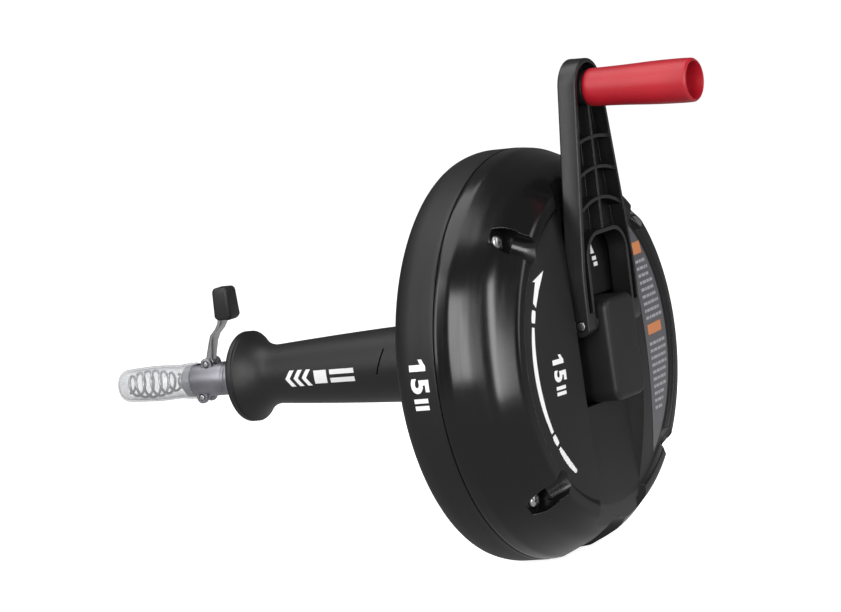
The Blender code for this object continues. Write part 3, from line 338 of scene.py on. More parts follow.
def vinyl_finish():
    """Clear vinyl: nearly clear seen square on, milky at its edges."""
    finish = Finish("clear_vinyl_sleeve", Roughness=0.12, Specular_IOR_Level=0.6)
    facing = finish.node("ShaderNodeLayerWeight", None, {"Blend": 0.45}, out="Facing")
    haze = finish.noise(160, 3)
    finish.feed("Base Color", finish.mix(haze, (0.62, 0.63, 0.65), (0.48, 0.49, 0.52)))
    finish.feed("Alpha", 0.16 + 0.62 * facing ** 1.8 + 0.1 * haze.ramp(0.5, 0.8))
    ripple = finish.noise(110, 2)
    finish.bump(ripple, 0.25 * MM, 0.5)
    return finish.material


def print_finish(name, tone):
    """Pad-printed ink, thin in tiny spots."""
    finish = Finish(name)
    speck = finish.noise(1300, 2, 0.7).ramp(0.62, 0.78)
    thin = [channel * 0.72 for channel in tone]
    finish.feed("Base Color", finish.mix(speck, tone, thin))
    finish.feed("Roughness", 0.42 + 0.2 * speck)
    return finish.material


def label_finish():
    """The slate label under a smooth clear film, faintly scuffed."""
    finish = Finish("label_slate", Coat_Weight=0.3, Coat_Roughness=0.12)
    scuff = finish.noise(60, 4, 0.6, (1, 1, 3))
    tone = colours().label
    pale = [channel * 1.5 for channel in tone]
    finish.feed("Base Color", finish.mix(scuff.ramp(0.5, 0.85), tone, pale))
    finish.feed("Roughness", 0.3 + 0.15 * scuff)
    finish.bump(finish.noise(700, 2), 0.02 * MM, 0.3)
    return finish.material


# ---------------------------------------------------------------- mesh helpers

def eased(points, radius, segments=4):
    """The (x, radius) line with its inner corners rounded; a point may carry its own radius."""
    line = []
    for index, point in enumerate(points):
        here = Vector(point[:2])
        reach = point[2] if len(point) > 2 else radius
        if index in (0, len(points) - 1) or reach == 0:
            line.append(here)
            continue
        back, ahead = Vector(points[index - 1][:2]) - here, Vector(points[index + 1][:2]) - here
        cut = min(reach, 0.48 * back.length, 0.48 * ahead.length)
        start, end = here + back.normalized() * cut, here + ahead.normalized() * cut
        for step in range(segments + 1):
            share = step / segments
            line.append(start * (1 - share) ** 2 + here * 2 * share * (1 - share)
                        + end * share ** 2)
    return [(point.x, point.y) for point in line]


def arc(centre, radius, start, end, count):
    """Points on a circle; the angles are in degrees."""
    return [(centre[0] + radius * math.cos(math.radians(start + (end - start) * i / (count - 1))),
             centre[1] + radius * math.sin(math.radians(start + (end - start) * i / (count - 1))))
            for i in range(count)]


def spun(line, steps, closed=False, centre=(0, 0, 0)):
    """A (x, radius) line spun about the X direction through centre."""
    build = bmesh.new()
    middle = Vector(centre)
    verts = [build.verts.new(middle + Vector((x, 0, radius))) for x, radius in line]
    pairs = list(zip(verts, verts[1:])) + ([(verts[-1], verts[0])] if closed else [])
    edges = [build.edges.new(pair) for pair in pairs]
    bmesh.ops.spin(build, geom=verts + edges, cent=middle, axis=(1, 0, 0), dvec=(0, 0, 0),
                   angle=2 * math.pi, steps=steps, use_merge=True, use_duplicate=False)
    bmesh.ops.remove_doubles(build, verts=build.verts, dist=1e-6)
    bmesh.ops.recalc_face_normals(build, faces=build.faces)
    return build


def plate(outline, low, high, rounding=0, segments=3, axis="X"):
    """A flat (across, up) outline pushed out along an axis, its long edges rounded."""
    build = bmesh.new()
    turn = {"X": lambda a, u: (low, a, u), "Y": lambda a, u: (a, low, u),
            "Z": lambda a, u: (a, u, low)}[axis]
    face = build.faces.new([build.verts.new(turn(a, u)) for a, u in outline])
    grown = bmesh.ops.extrude_face_region(build, geom=[face])
    moved = [item for item in grown["geom"] if isinstance(item, bmesh.types.BMVert)]
    step = Vector([high - low if axis == name else 0 for name in "XYZ"])
    bmesh.ops.translate(build, verts=moved, vec=step)
    bmesh.ops.recalc_face_normals(build, faces=build.faces)
    if rounding:
        index = "XYZ".index(axis)
        rims = [edge for edge in build.edges
                if abs(edge.verts[0].co[index] - edge.verts[1].co[index]) < 1e-7]
        bmesh.ops.bevel(build, geom=rims, offset=rounding, segments=segments, profile=0.5,
                        affect="EDGES", clamp_overlap=True, material=-1)
    return build


def block(low, high, rounding=0, segments=3):
    """A rounded block between two corners."""
    low, high = Vector(low), Vector(high)
    build = bmesh.new()
    bmesh.ops.create_cube(build, size=1)
    bmesh.ops.scale(build, vec=high - low, verts=build.verts)
    bmesh.ops.translate(build, vec=(low + high) / 2, verts=build.verts)
    if rounding:
        bmesh.ops.bevel(build, geom=list(build.edges), offset=rounding, segments=segments,
                        profile=0.5, affect="EDGES", clamp_overlap=True, material=-1)
    return build


def rod(radius, start, end, sides=32, far_radius=None):
    """A round rod, or a cone with a far radius, between two points."""
    start, end = Vector(start), Vector(end)
    along = end - start
    build = bmesh.new()
    bmesh.ops.create_cone(build, cap_ends=True, segments=sides, radius1=radius,
                          radius2=radius if far_radius is None else far_radius,
                          depth=along.length)
    turn = along.to_track_quat("Z", "Y").to_matrix().to_4x4() @ Matrix.Rotation(0.031, 4, "Z")
    bmesh.ops.transform(build, matrix=Matrix.Translation((start + end) / 2) @ turn,
                        verts=build.verts)
    return build


def rounded_box(half_across, low, high, corner, count=9):
    """An (across, up) outline with four round corners."""
    centres = ((half_across - corner, high - corner, 0), (-half_across + corner, high - corner, 90),
               (-half_across + corner, low + corner, 180), (half_across - corner, low + corner, 270))
    return [point for across, up, start in centres
            for point in arc((across, up), corner, start, start + 90, count)]


def blank(name, build):
    """The bmesh as an object that is still being worked on."""
    mesh = bpy.data.meshes.new(name)
    build.to_mesh(mesh)
    build.free()
    made = bpy.data.objects.new(name, mesh)
    bpy.context.scene.collection.objects.link(made)
    return made


def settle(thing):
    """Applies the modifiers of a piece in the making."""
    bpy.context.view_layer.update()
    seen = thing.evaluated_get(bpy.context.evaluated_depsgraph_get())
    mesh = bpy.data.meshes.new_from_object(seen)
    thing.modifiers.clear()
    old, thing.data = thing.data, mesh
    bpy.data.meshes.remove(old)
    return thing


def carve(thing, tools, operation="DIFFERENCE"):
    """Cuts each tool from the piece, or joins it on, in order."""
    holders = []
    for number, tool in enumerate(tools):
        holder = tool if isinstance(tool, bpy.types.Object) else blank("tool_%d" % number, tool)
        step = thing.modifiers.new("Carve", "BOOLEAN")
        step.operation, step.solver, step.object = operation, "EXACT", holder
        holders.append(holder)
    settle(thing)
    for holder in holders:
        bpy.data.objects.remove(holder, do_unlink=True)
    return thing


def finished(thing, name, body, look, replaced=(), angle=32, turn=None):
    """Puts a piece in its place in the model, smooths and paints it, and lets it ride."""
    if isinstance(thing, bmesh.types.BMesh):
        thing = blank(name, thing)
    thing.name = thing.data.name = name
    thing.data.transform(Matrix.Translation(TOOL) @ (turn or Matrix.Identity(4)))
    thing.data.shade_smooth()
    thing.data.set_sharp_from_angle(angle=math.radians(angle))
    thing.data.materials.clear()
    thing.data.materials.append(LOOKS[look])
    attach(thing, body)
    if replaced:
        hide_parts(*replaced)
    return thing


def joined(builds):
    """Several bmeshes as one."""
    whole = bmesh.new()
    for build in builds:
        mesh = bpy.data.meshes.new("part")
        build.to_mesh(mesh)
        build.free()
        whole.from_mesh(mesh)
        bpy.data.meshes.remove(mesh)
    return whole


# ---------------------------------------------------------------- drum

def panel_x(radius):
    """Height of the domed rear panels at a distance from the axis."""
    return -shapes().panel_drop * (radius / shapes().panel_radius) ** 2


def rear_line():
    """The rear shell's outside, from the axis to the parting line."""
    edge = shapes().panel_radius
    rim = panel_x(edge)
    dome = [(panel_x(edge * step / 16), edge * step / 16, 0) for step in range(16)]
    return eased(dome + [(rim, edge, 0.5 * MM), (rim + 1.6 * MM, edge + 1.9 * MM, 0.9 * MM),
                         (rim + 0.9 * MM, edge + 7.4 * MM, 1.6 * MM),
                         (-9.9 * MM, 86 * MM, 2.2 * MM), (-17.4 * MM, 92.9 * MM, 4 * MM),
                         (-26.6 * MM, 97.3 * MM, 1.6 * MM), (-35.6 * MM, 101.1 * MM, 1.4 * MM),
                         (-41.2 * MM, DRUM_RADIUS - 0.25 * MM, 1 * MM),
                         (PARTING_X + 0.5 * MM, DRUM_RADIUS - 0.4 * MM)], 1 * MM, 5)


def arm_half(z):
    """Half the arm's width at a height."""
    share = max(0, min(1, (abs(z) - 38 * MM) / (REACH - 38 * MM)))
    return (28 - 13.5 * share) * MM


def channel(wall):
    """The trough for the folding arm, which opens out at the rim."""
    build = bmesh.new()
    stations = [(0, 7, 34), (44, 7, 34), (69.5, 7, 34), (80, 9.3, 37.5), (86, 11.2, 41.5),
                (92, 14.5, 45.5), (98, 18.6, 49), (104, 23.4, 51.5), (112, 29, 53)]
    whole = [(-z, depth, top) for z, depth, top in reversed(stations[1:])] + stations
    rings = []
    for z, depth, top in whole:
        floor = min(arm_half(z * MM), arm_half(89 * MM)) + 1.2 * MM if abs(z) < 75 else \
            arm_half(89 * MM) + 1.2 * MM
        side, high = wall * 1.2, 12 * MM
        slope = (top * MM - floor) / (7 * MM) if abs(z) < 75 else 0.6
        corners = [(-depth * MM - wall, floor + side), (high, top * MM + slope * high + side),
                   (high, -top * MM - slope * high - side), (-depth * MM - wall, -floor - side)]
        rings.append([build.verts.new((x, y, z * MM)) for x, y in corners])
    for low, high in zip(rings, rings[1:]):
        for index in range(4):
            after = (index + 1) % 4
            build.faces.new((low[index], low[after], high[after], high[index]))
    build.faces.new(rings[0])
    build.faces.new(list(reversed(rings[-1])))
    bmesh.ops.recalc_face_normals(build, faces=build.faces)
    return build


def screw_places():
    reach = 89 * MM * math.sqrt(0.5)
    return [(y, z) for y in (-reach, reach) for z in (-reach, reach)]


def pocket(y, z, extra=0.0, floor=-22 * MM):
    """A straight round screw pocket, open at the drum's rear."""
    radius = shapes().pocket_radius + extra
    return [rod(radius, (12 * MM, y, z), (floor, y, z), 48)]


def scoop(y, z, extra=0.0):
    """The slanting trough that opens each screw pocket towards the middle of the drum."""
    inward = Vector((0, -y, -z)).normalized()
    start = Vector((-17 * MM, y, z)) - inward * 1 * MM
    end = Vector((15 * MM, y, z)) + inward * 24 * MM
    return rod(5.8 * MM + extra, start, end, 40, 8.6 * MM + extra)


def inner_line(wall):
    """The rear shell's inside."""
    edge = shapes().panel_radius
    points = [(panel_x(edge * step / 6) - wall, edge * step / 6) for step in range(7)]
    return points + [(-12.6 * MM, 84 * MM), (-19.5 * MM, 90 * MM), (-28 * MM, 94.2 * MM),
                     (-36 * MM, 96.4 * MM), (TONGUE_X - 1 * MM, 96.4 * MM),
                     (TONGUE_X - 1 * MM, 0)]


def rear_shell():
    kit = shapes()
    outside = rear_line()
    tongue = DRUM_RADIUS - kit.wall - 0.45 * MM
    line = outside + [(PARTING_X + 0.3 * MM, tongue), (TONGUE_X, tongue), (TONGUE_X, 0)]
    shell = blank("rear", spun(line, kit.drum_steps))
    cavity = blank("cavity", spun(inner_line(kit.wall), 96))
    wall = kit.wall
    nest = [rod(17.5 * MM, (20 * MM, 0, NEST_Z), (PARTING_X + 0.3 * MM, 0, NEST_Z), 64)]
    posts = [tool for y, z in screw_places() for tool in pocket(y, z, 2 * MM, -31 * MM)]
    well_wall = block((-16 * MM - wall, -32.5 * MM, -29 * MM), (10 * MM, 32.5 * MM, 29 * MM))
    carve(cavity, [channel(wall), well_wall] + nest)
    for post in posts:
        carve(cavity, [post])
    for y, z in screw_places():
        carve(cavity, [scoop(y, z, 2.2 * MM)])
    well = block((-16 * MM, -29.5 * MM, -26 * MM), (10 * MM, 29.5 * MM, 26 * MM))
    cuts = [cavity, channel(0), well,
            rod(15 * MM, (20 * MM, 0, NEST_Z), (-90 * MM, 0, NEST_Z), 96),
            rod(17.8 * MM, (PARTING_X + 0.3 * MM, 0, NEST_Z), (-90 * MM, 0, NEST_Z), 96)]
    carve(shell, cuts)
    for y, z in screw_places():
        carve(shell, pocket(y, z) + [scoop(y, z)])
    return shell


def front_shell():
    kit = shapes()
    band = DRUM_RADIUS - 0.1 * MM
    outside = [(PARTING_X, band - 0.3 * MM), (PARTING_X - 0.4 * MM, band, 0.3 * MM),
               (-57.6 * MM, band, 2.5 * MM), (-64 * MM, 100 * MM, 3 * MM),
               (-68.4 * MM, 94 * MM, 3 * MM), (FRONT_FACE_X, 85 * MM, 3 * MM)]
    face = [(FRONT_FACE_X, 62 * MM, 0.4 * MM), (FRONT_FACE_X + 1.2 * MM, 60.5 * MM, 0.4 * MM),
            (FRONT_FACE_X + 1.2 * MM, 40 * MM, 0.4 * MM), (FRONT_FACE_X, 38.5 * MM, 0.4 * MM),
            (FRONT_FACE_X, 30.5 * MM, 1.5 * MM), (BOSS_X, 25.5 * MM, 1 * MM), (BOSS_X, 6.3 * MM)]
    line = [(PARTING_X, 0)] + eased(outside + face, 1 * MM) + [(BOSS_X, 0)]
    shell = blank("front", spun(line, kit.drum_steps))
    inside = [(PARTING_X + 1 * MM, 0), (PARTING_X + 1 * MM, band - kit.wall),
              (-57 * MM, band - kit.wall), (-62 * MM, 97.2 * MM), (-66 * MM, 91.5 * MM),
              (FRONT_FACE_X + kit.wall + 1.2 * MM, 83 * MM), (FRONT_FACE_X + kit.wall + 1.2 * MM, 0)]
    cavity = carve(blank("cavity", spun(inside, 96)),
                   [rod(17.5 * MM, (20 * MM, 0, NEST_Z), (-90 * MM, 0, NEST_Z), 64)])
    carve(shell, [cavity, rod(15 * MM, (20 * MM, 0, NEST_Z), (-90 * MM, 0, NEST_Z), 96),
                  rod(6.3 * MM, (-60 * MM, 0, 0), (-90 * MM, 0, 0), 48)])
    return shell


class AUGER_OT_drum(bpy.types.Operator):
    """Build the two moulded shells of the drum"""
    bl_idname = "auger.drum"
    bl_label = "Drum Shells"

    def execute(self, context):
        finished(rear_shell(), "drum_rear", "drum", "shell_black", ["rear_shell"], 24)
        finished(front_shell(), "drum_front", "drum", "shell_black",
                 ["front_shell"], 24)
        return {"FINISHED"}


def cross_screw(x, y, z, length, head=3.7 * MM, shank=1.8 * MM, height=2.4 * MM):
    """A pan-head screw with a cross recess, its head towards +X, seated at x."""
    line = eased([(x + height, 0, 0), (x + height, 0.62 * head, 0.8 * MM), (x + 0.55 * height, head, 0.7 * MM),
                  (x, head, 0), (x, shank, 0), (x - length, shank, 0), (x - length, 0)], 0.5 * MM)
    screw = blank("screw", spun(line, 32, centre=(0, y, z)))
    arms = []
    for turn in (20, 110):
        slot = block((x + height - 1.3 * MM, -1.9 * MM, -0.42 * MM),
                     (x + height + 1 * MM, 1.9 * MM, 0.42 * MM))
        bmesh.ops.transform(slot, matrix=Matrix.Translation((0, y, z))
                            @ Matrix.Rotation(math.radians(turn), 4, "X"), verts=slot.verts)
        arms.append(slot)
    return carve(screw, arms)


class AUGER_OT_screws(bpy.types.Operator):
    """Build the four screws that hold the shells together"""
    bl_idname = "auger.screws"
    bl_label = "Shell Screws"

    def execute(self, context):
        for number in range(1, 5):
            node = "shell_screw_%d" % number
            low, high = near(node), far(node)
            middle = (low + high) / 2
            screw = cross_screw(high.x - 2.4 * MM, middle.y, middle.z, 22 * MM)
            finished(screw, "case_screw_%d" % number, "drum", "zinc_plate", [node])
        return {"FINISHED"}


# ---------------------------------------------------------------- hinge cover and crank

class AUGER_OT_hinge(bpy.types.Operator):
    """Build the rounded hinge cover with its pin and spacers"""
    bl_idname = "auger.hinge"
    bl_label = "Hinge Cover"

    def execute(self, context):
        low, high = near("hinge_block"), far("hinge_block")
        outline = rounded_box(high.y, low.z, high.z, 6.2 * MM, 10)
        cover = blank("cover", plate(outline, low.x, high.x, 2.6 * MM, 6))
        reach = high.y + 5 * MM
        pin = rod(2.8 * MM, (PIN.x, -reach, PIN.z), (PIN.x, reach, PIN.z), 32)
        carve(cover, [pin])
        finished(cover, "hinge_cover", "drum", "satin_black_plastic",
                 ["hinge_block"], 40)
        half = far("fold_pin").y
        line = eased([(-half, 0, 0), (-half, 2.5 * MM, 0.8 * MM), (half, 2.5 * MM, 0.8 * MM),
                      (half, 0)], 0.8 * MM)
        pin = spun([(x, radius) for x, radius in line], 40)
        turn = Matrix.Translation((PIN.x, 0, PIN.z)) @ Matrix.Rotation(math.pi / 2, 4, "Z")
        bmesh.ops.transform(pin, matrix=turn, verts=pin.verts)
        finished(pin, "hinge_pin", "drum", "zinc_plate", ["fold_pin"])
        for side, node in ((-1, "left_spacer"), (1, "right_spacer")):
            low, high = near(node), far(node)
            half, middle = (high.y - low.y) / 2, (high.y + low.y) / 2
            ring = eased([(-half, 2.8 * MM, 0), (-half, 4.5 * MM), (0, 4.1 * MM), (half, 4.5 * MM),
                          (half, 2.8 * MM, 0)], 0.4 * MM)
            sleeve = spun(ring, 40, closed=True)
            turn = Matrix.Translation((PIN.x, middle, PIN.z)) @ Matrix.Rotation(math.pi / 2, 4, "Z")
            bmesh.ops.transform(sleeve, matrix=turn, verts=sleeve.verts)
            finished(sleeve, node.replace("spacer", "sleeve"), "drum",
                     "satin_black_plastic", [node])
        return {"FINISHED"}


def arm_outline(inset, lowest):
    """The arm's (across, up) outline, tapering to a round end."""
    side, rise = 28 * MM - inset, REACH - 38 * MM
    lean = math.degrees(math.atan2(13.5 * MM, rise))
    end = arc((0, REACH), 14.5 * MM - inset, lean, 180 - lean, 25)
    knee = [(side, lowest), (side, 30 * MM)]
    bend = [(side - 0.1 * MM, 36 * MM), (side - 0.5 * MM, 41 * MM)]
    right = knee + bend
    return right + end + [(-across, up) for across, up in reversed(right)]


def slot_outline(wall):
    """The fork's slot, nearly square at its top, with that much more round it."""
    half, corner = 20 * MM + wall, 12 * MM + wall
    across, up = half - corner, 57 * MM + wall - corner
    below = PIN.z - 10 * MM
    return ([(half, below)] + arc((across, up), corner, 0, 90, 14)
            + arc((-across, up), corner, 90, 180, 14) + [(-half, below)])


def crank_rib(z, rear):
    """A thin curved rib across the arm, arched like the slot's top."""
    radius = z - 28 * MM
    spread = math.degrees(math.asin(min(0.95, 30 * MM / radius)))
    upper = arc((0, z - radius), radius + 0.85 * MM, 90 - spread, 90 + spread, 21)
    lower = arc((0, z - radius), radius - 0.85 * MM, 90 + spread, 90 - spread, 21)
    return plate(upper + lower, ARM_FRONT, rear)


def crank_arm():
    lowest = PIN.z - 5.8 * MM
    arm = blank("arm", plate(arm_outline(0, lowest), ARM_FRONT, ARM_REAR, 0.9 * MM, 4))
    web, past = ARM_FRONT + 2.5 * MM, ARM_REAR + 6 * MM
    hollow = blank("hollow", plate(arm_outline(2.1 * MM, lowest + 2.5 * MM), web, past))
    keep = [plate(slot_outline(1.9 * MM), ARM_FRONT, past + 1 * MM),
            block((ARM_FRONT, -40 * MM, 0), (past + 1 * MM, 40 * MM, PIN.z + 6 * MM)),
            rod(8.7 * MM, (ARM_FRONT, 0, REACH), (past + 1 * MM, 0, REACH), 64)]
    keep += [crank_rib((74 + 15 * index) * MM, ARM_REAR - 1 * MM) for index in range(3)]
    keep.append(plate([(-1 * MM, 57 * MM), (1 * MM, 57 * MM), (0.7 * MM, REACH), (-0.7 * MM, REACH)],
                      ARM_FRONT, ARM_REAR - 1.2 * MM))
    carve(hollow, keep)
    reach = 40 * MM
    cuts = [hollow, plate(slot_outline(0), ARM_FRONT - 5 * MM, past),
            rod(2.8 * MM, (PIN.x, -reach, PIN.z), (PIN.x, reach, PIN.z), 32),
            rod(3.3 * MM, (-20 * MM, 0, REACH), (20 * MM, 0, REACH), 40),
            rod(6.2 * MM, (-20 * MM, 0, REACH), (ARM_FRONT + 3.2 * MM, 0, REACH), 48)]
    for side in (-1, 1):
        end = arc((PIN.x, PIN.z), 5.3 * MM, 0, -180, 25)
        outer, below = 8.3 * MM, PIN.z - 8.3 * MM
        outline = end + [(PIN.x - outer, PIN.z), (PIN.x - outer, below),
                         (PIN.x + outer, below), (PIN.x + outer, PIN.z)]
        low, high = sorted((side * 18 * MM, side * 30 * MM))
        cuts.append(plate(outline, low, high, axis="Y"))
    return carve(arm, cuts)


class AUGER_OT_crank(bpy.types.Operator):
    """Build the ribbed folding arm with its axle and nut"""
    bl_idname = "auger.crank"
    bl_label = "Folding Crank"

    def execute(self, context):
        finished(crank_arm(), "folding_arm", "crank", "arm_black_plastic",
                 ["crank_arm"], 30, LEAN_TURN)
        seat = ARM_REAR + 0.3 * MM + 14 * MM + 0.3 * MM
        foot = ARM_FRONT + 0.6 * MM
        line = eased([(seat + 3.5 * MM, 0, 0), (seat + 3.5 * MM, 4.2 * MM), (seat + 1.6 * MM, 5.5 * MM),
                      (seat, 5.5 * MM, 0), (seat, 3 * MM, 0), (foot, 3 * MM, 0), (foot, 0)], 0.6 * MM)
        axle = blank("axle", spun(line, 40, centre=(0, 0, REACH)))
        slot = block((seat + 2.4 * MM, -5 * MM, REACH - 0.5 * MM), (seat + 4 * MM, 5 * MM, REACH + 0.5 * MM))
        carve(axle, [slot])
        finished(axle, "knob_axle_screw", "crank", "zinc_plate", ["knob_axle"],
                 turn=LEAN_TURN)
        low, high = ARM_FRONT + 0.3 * MM, ARM_FRONT + 2.9 * MM
        hexagon = arc((0, REACH), 5.6 * MM, 0, 300, 6)
        nut = blank("nut", plate(hexagon, low, high, 0.35 * MM, 2))
        carve(nut, [rod(3.3 * MM, (-20 * MM, 0, REACH), (20 * MM, 0, REACH), 32)])
        finished(nut, "axle_lock_nut", "crank", "zinc_plate", ["axle_nut"],
                 turn=LEAN_TURN)
        return {"FINISHED"}


class AUGER_OT_knob(bpy.types.Operator):
    """Build the hollow red knob"""
    bl_idname = "auger.knob"
    bl_label = "Knob"

    def execute(self, context):
        start, length = ARM_REAR + 0.3 * MM, 57.5 * MM
        end = start + length
        outside = [(start, 3.3 * MM, 0), (start, 8.6 * MM, 0.6 * MM), (start + 1.2 * MM, 9.3 * MM, 1 * MM),
                   (start + 0.3 * length, 9.7 * MM, 8 * MM), (start + 0.66 * length, 10.7 * MM, 8 * MM),
                   (end - 6 * MM, 10.9 * MM, 3 * MM), (end - 1 * MM, 10.75 * MM, 1 * MM),
                   (end, 9.9 * MM, 0.5 * MM), (end - 0.1 * MM, 9.3 * MM, 0.4 * MM)]
        inside = [(end - 5 * MM, 8.9 * MM, 3 * MM), (start + 0.6 * length, 7.9 * MM, 4 * MM),
                  (start + 14 * MM, 6.4 * MM, 0.6 * MM), (start + 14 * MM, 3.3 * MM, 0)]
        line = eased(outside + inside, 1 * MM, 6)
        knob = spun(line, shapes().small_steps + 24, closed=True, centre=(0, 0, REACH))
        finished(knob, "red_knob", "knob", "knob_red_plastic", ["crank_knob"], 40,
                 LEAN_TURN)
        return {"FINISHED"}


# ---------------------------------------------------------------- grip and nose

def grip_radius(x):
    """The grip's radius in front of its finger flange."""
    waist = GRIP_FRONT + 20 * MM
    share = max(0, min(1, (GRIP_REAR - x) / (GRIP_REAR - waist)))
    return (20.5 - 5.5 * share + 0.6 * math.sin(math.pi * share)) * MM


class AUGER_OT_grip(bpy.types.Operator):
    """Build the tapered grip with its finger flange and shallow side hollows"""
    bl_idname = "auger.grip"
    bl_label = "Grip"

    def execute(self, context):
        waist, rim = GRIP_FRONT + 20 * MM, GRIP_FRONT + 5 * MM
        body = [(GRIP_REAR - (GRIP_REAR - waist) * share / 24, 0) for share in range(1, 25)]
        line = [(GRIP_REAR, 19 * MM, 0.5 * MM), (GRIP_REAR - 0.4 * MM, 20.3 * MM, 0.8 * MM)]
        line += [(x, grip_radius(x), 0) for x, _ in body]
        flange = [(waist + (rim - waist) * share / 12,
                   15 * MM + 8 * MM * (share / 12) ** 2.1, 0) for share in range(1, 13)]
        line += flange + [(rim - 0.3 * MM, 22.2 * MM, 0.3 * MM), (rim - 1.1 * MM, 22.3 * MM, 0.3 * MM),
                          (rim - 1.4 * MM, 23 * MM, 0.4 * MM), (GRIP_FRONT + 0.9 * MM, 23 * MM, 1 * MM),
                          (GRIP_FRONT, 21.4 * MM, 0.8 * MM), (GRIP_FRONT + 1.2 * MM, 19 * MM, 1 * MM),
                          (GRIP_FRONT + 1.2 * MM, 12 * MM, 1 * MM), (GRIP_FRONT, 10.6 * MM, 0.6 * MM),
                          (GRIP_FRONT, 6.3 * MM, 0), (waist - 8 * MM, 6.3 * MM, 0),
                          (waist - 8 * MM, 12 * MM, 0), (GRIP_REAR - 8 * MM, 17 * MM, 0),
                          (GRIP_REAR - 8 * MM, 6.3 * MM, 0), (GRIP_REAR, 6.3 * MM, 0)]
        grip = blank("grip", spun(eased(line, 1 * MM), shapes().small_steps + 24, closed=True))
        cuts = []
        for side in (-1, 1):
            for x, tilt in ((GRIP_FRONT + 10 * MM + 0.5 * MM, -14), (GRIP_REAR - 42 * MM, 20)):
                radius = grip_radius(x)
                disc = rod(13 * MM, (-0.35 * MM, 0, 0), (0.35 * MM, 0, 0), 64)
                turn = (Matrix.Translation((x, side * (radius - 12.45 * MM), 2 * MM))
                        @ Matrix.Rotation(math.radians(tilt * -side), 4, "Y"))
                bmesh.ops.transform(disc, matrix=turn, verts=disc.verts)
                cuts.append(disc)
        carve(grip, cuts)
        finished(grip, "hand_grip", "grip", "grip_black_plastic", ["grip_handle"], 32)
        return {"FINISHED"}


def lug_ear(x, z, side):
    """One round ear beside a pin."""
    toward = -1 if z > 0 else 1
    root = z + toward * 4.6 * MM
    top = [(px, z - toward * (pz - z)) for px, pz in arc((x, z), 3.2 * MM, 0, 180, 21)]
    inner = 3.1 * MM
    low, high = sorted((side * inner, side * (inner + 2.2 * MM)))
    build = plate([(x + 3.2 * MM, root)] + top + [(x - 3.2 * MM, root)], low, high, 0.35 * MM, 2, "Y")
    return build


class AUGER_OT_nose(bpy.types.Operator):
    """Build the cast nose with its pins and clamp shoe"""
    bl_idname = "auger.nose"
    bl_label = "Nose Casting"

    def execute(self, context):
        spigot = COLLAR_FRONT + 6 * MM
        rear, front = COLLAR_REAR, COLLAR_FRONT
        line = eased([(rear, 6.3 * MM, 0), (rear, 8 * MM, 0.4 * MM), (rear - 0.7 * MM, 8.6 * MM),
                      (rear - 9 * MM, 8.6 * MM, 0.3 * MM), (rear - 9.4 * MM, 8.2 * MM, 0.2 * MM),
                      (rear - 10.6 * MM, 8.2 * MM, 0.2 * MM), (rear - 11 * MM, 8.6 * MM, 0.3 * MM),
                      (spigot, 8.6 * MM, 0.6 * MM), (spigot, 8.1 * MM, 0.2 * MM),
                      (front + 1 * MM, 8.1 * MM, 1 * MM), (front, 7 * MM, 0.3 * MM),
                      (front, 4.2 * MM, 0), (rear - 13 * MM, 4.2 * MM, 0),
                      (rear - 13 * MM, 6.3 * MM, 0)], 0.5 * MM)
        nose = blank("nose", spun(line, shapes().small_steps, closed=True))
        pins = [("lever_pin", LEVER_PIN.x, LEVER_PIN.z),
                ("lower_pin", near("lower_pin").x + 1.5 * MM, -LEVER_PIN.z)]
        carve(nose, [lug_ear(x, z, side) for _, x, z in pins for side in (-1, 1)], "UNION")
        reach = 9 * MM
        cuts = [rod(1.8 * MM, (x, -reach, z), (x, reach, z), 24) for _, x, z in pins]
        cuts.append(block((LEVER_PIN.x - 7 * MM, -3.1 * MM, 0), (LEVER_PIN.x + 5 * MM, 3.1 * MM, 18 * MM)))
        carve(nose, cuts)
        finished(nose, "nose_casting", "drum", "zinc_casting", ["nose_collar"], 35)
        for node, x, z in pins:
            half = far(node).y
            line = eased([(-half, 0, 0), (-half, 1.1 * MM, 0.3 * MM), (-half + 0.5 * MM, 1.5 * MM, 0.3 * MM),
                          (half - 0.5 * MM, 1.5 * MM, 0.3 * MM), (half, 1.1 * MM, 0.3 * MM), (half, 0)],
                         0.3 * MM)
            pin = spun(line, 32)
            turn = Matrix.Translation((x, 0, z)) @ Matrix.Rotation(math.pi / 2, 4, "Z")
            bmesh.ops.transform(pin, matrix=turn, verts=pin.verts)
            finished(pin, node.replace("_pin", "_rivet"), "drum", "zinc_plate", [node])
        low, high = near("clamp_shoe"), far("clamp_shoe")
        finished(block(low, high, 0.3 * MM), "cable_shoe", "drum", "zinc_plate",
                 ["clamp_shoe"])
        return {"FINISHED"}


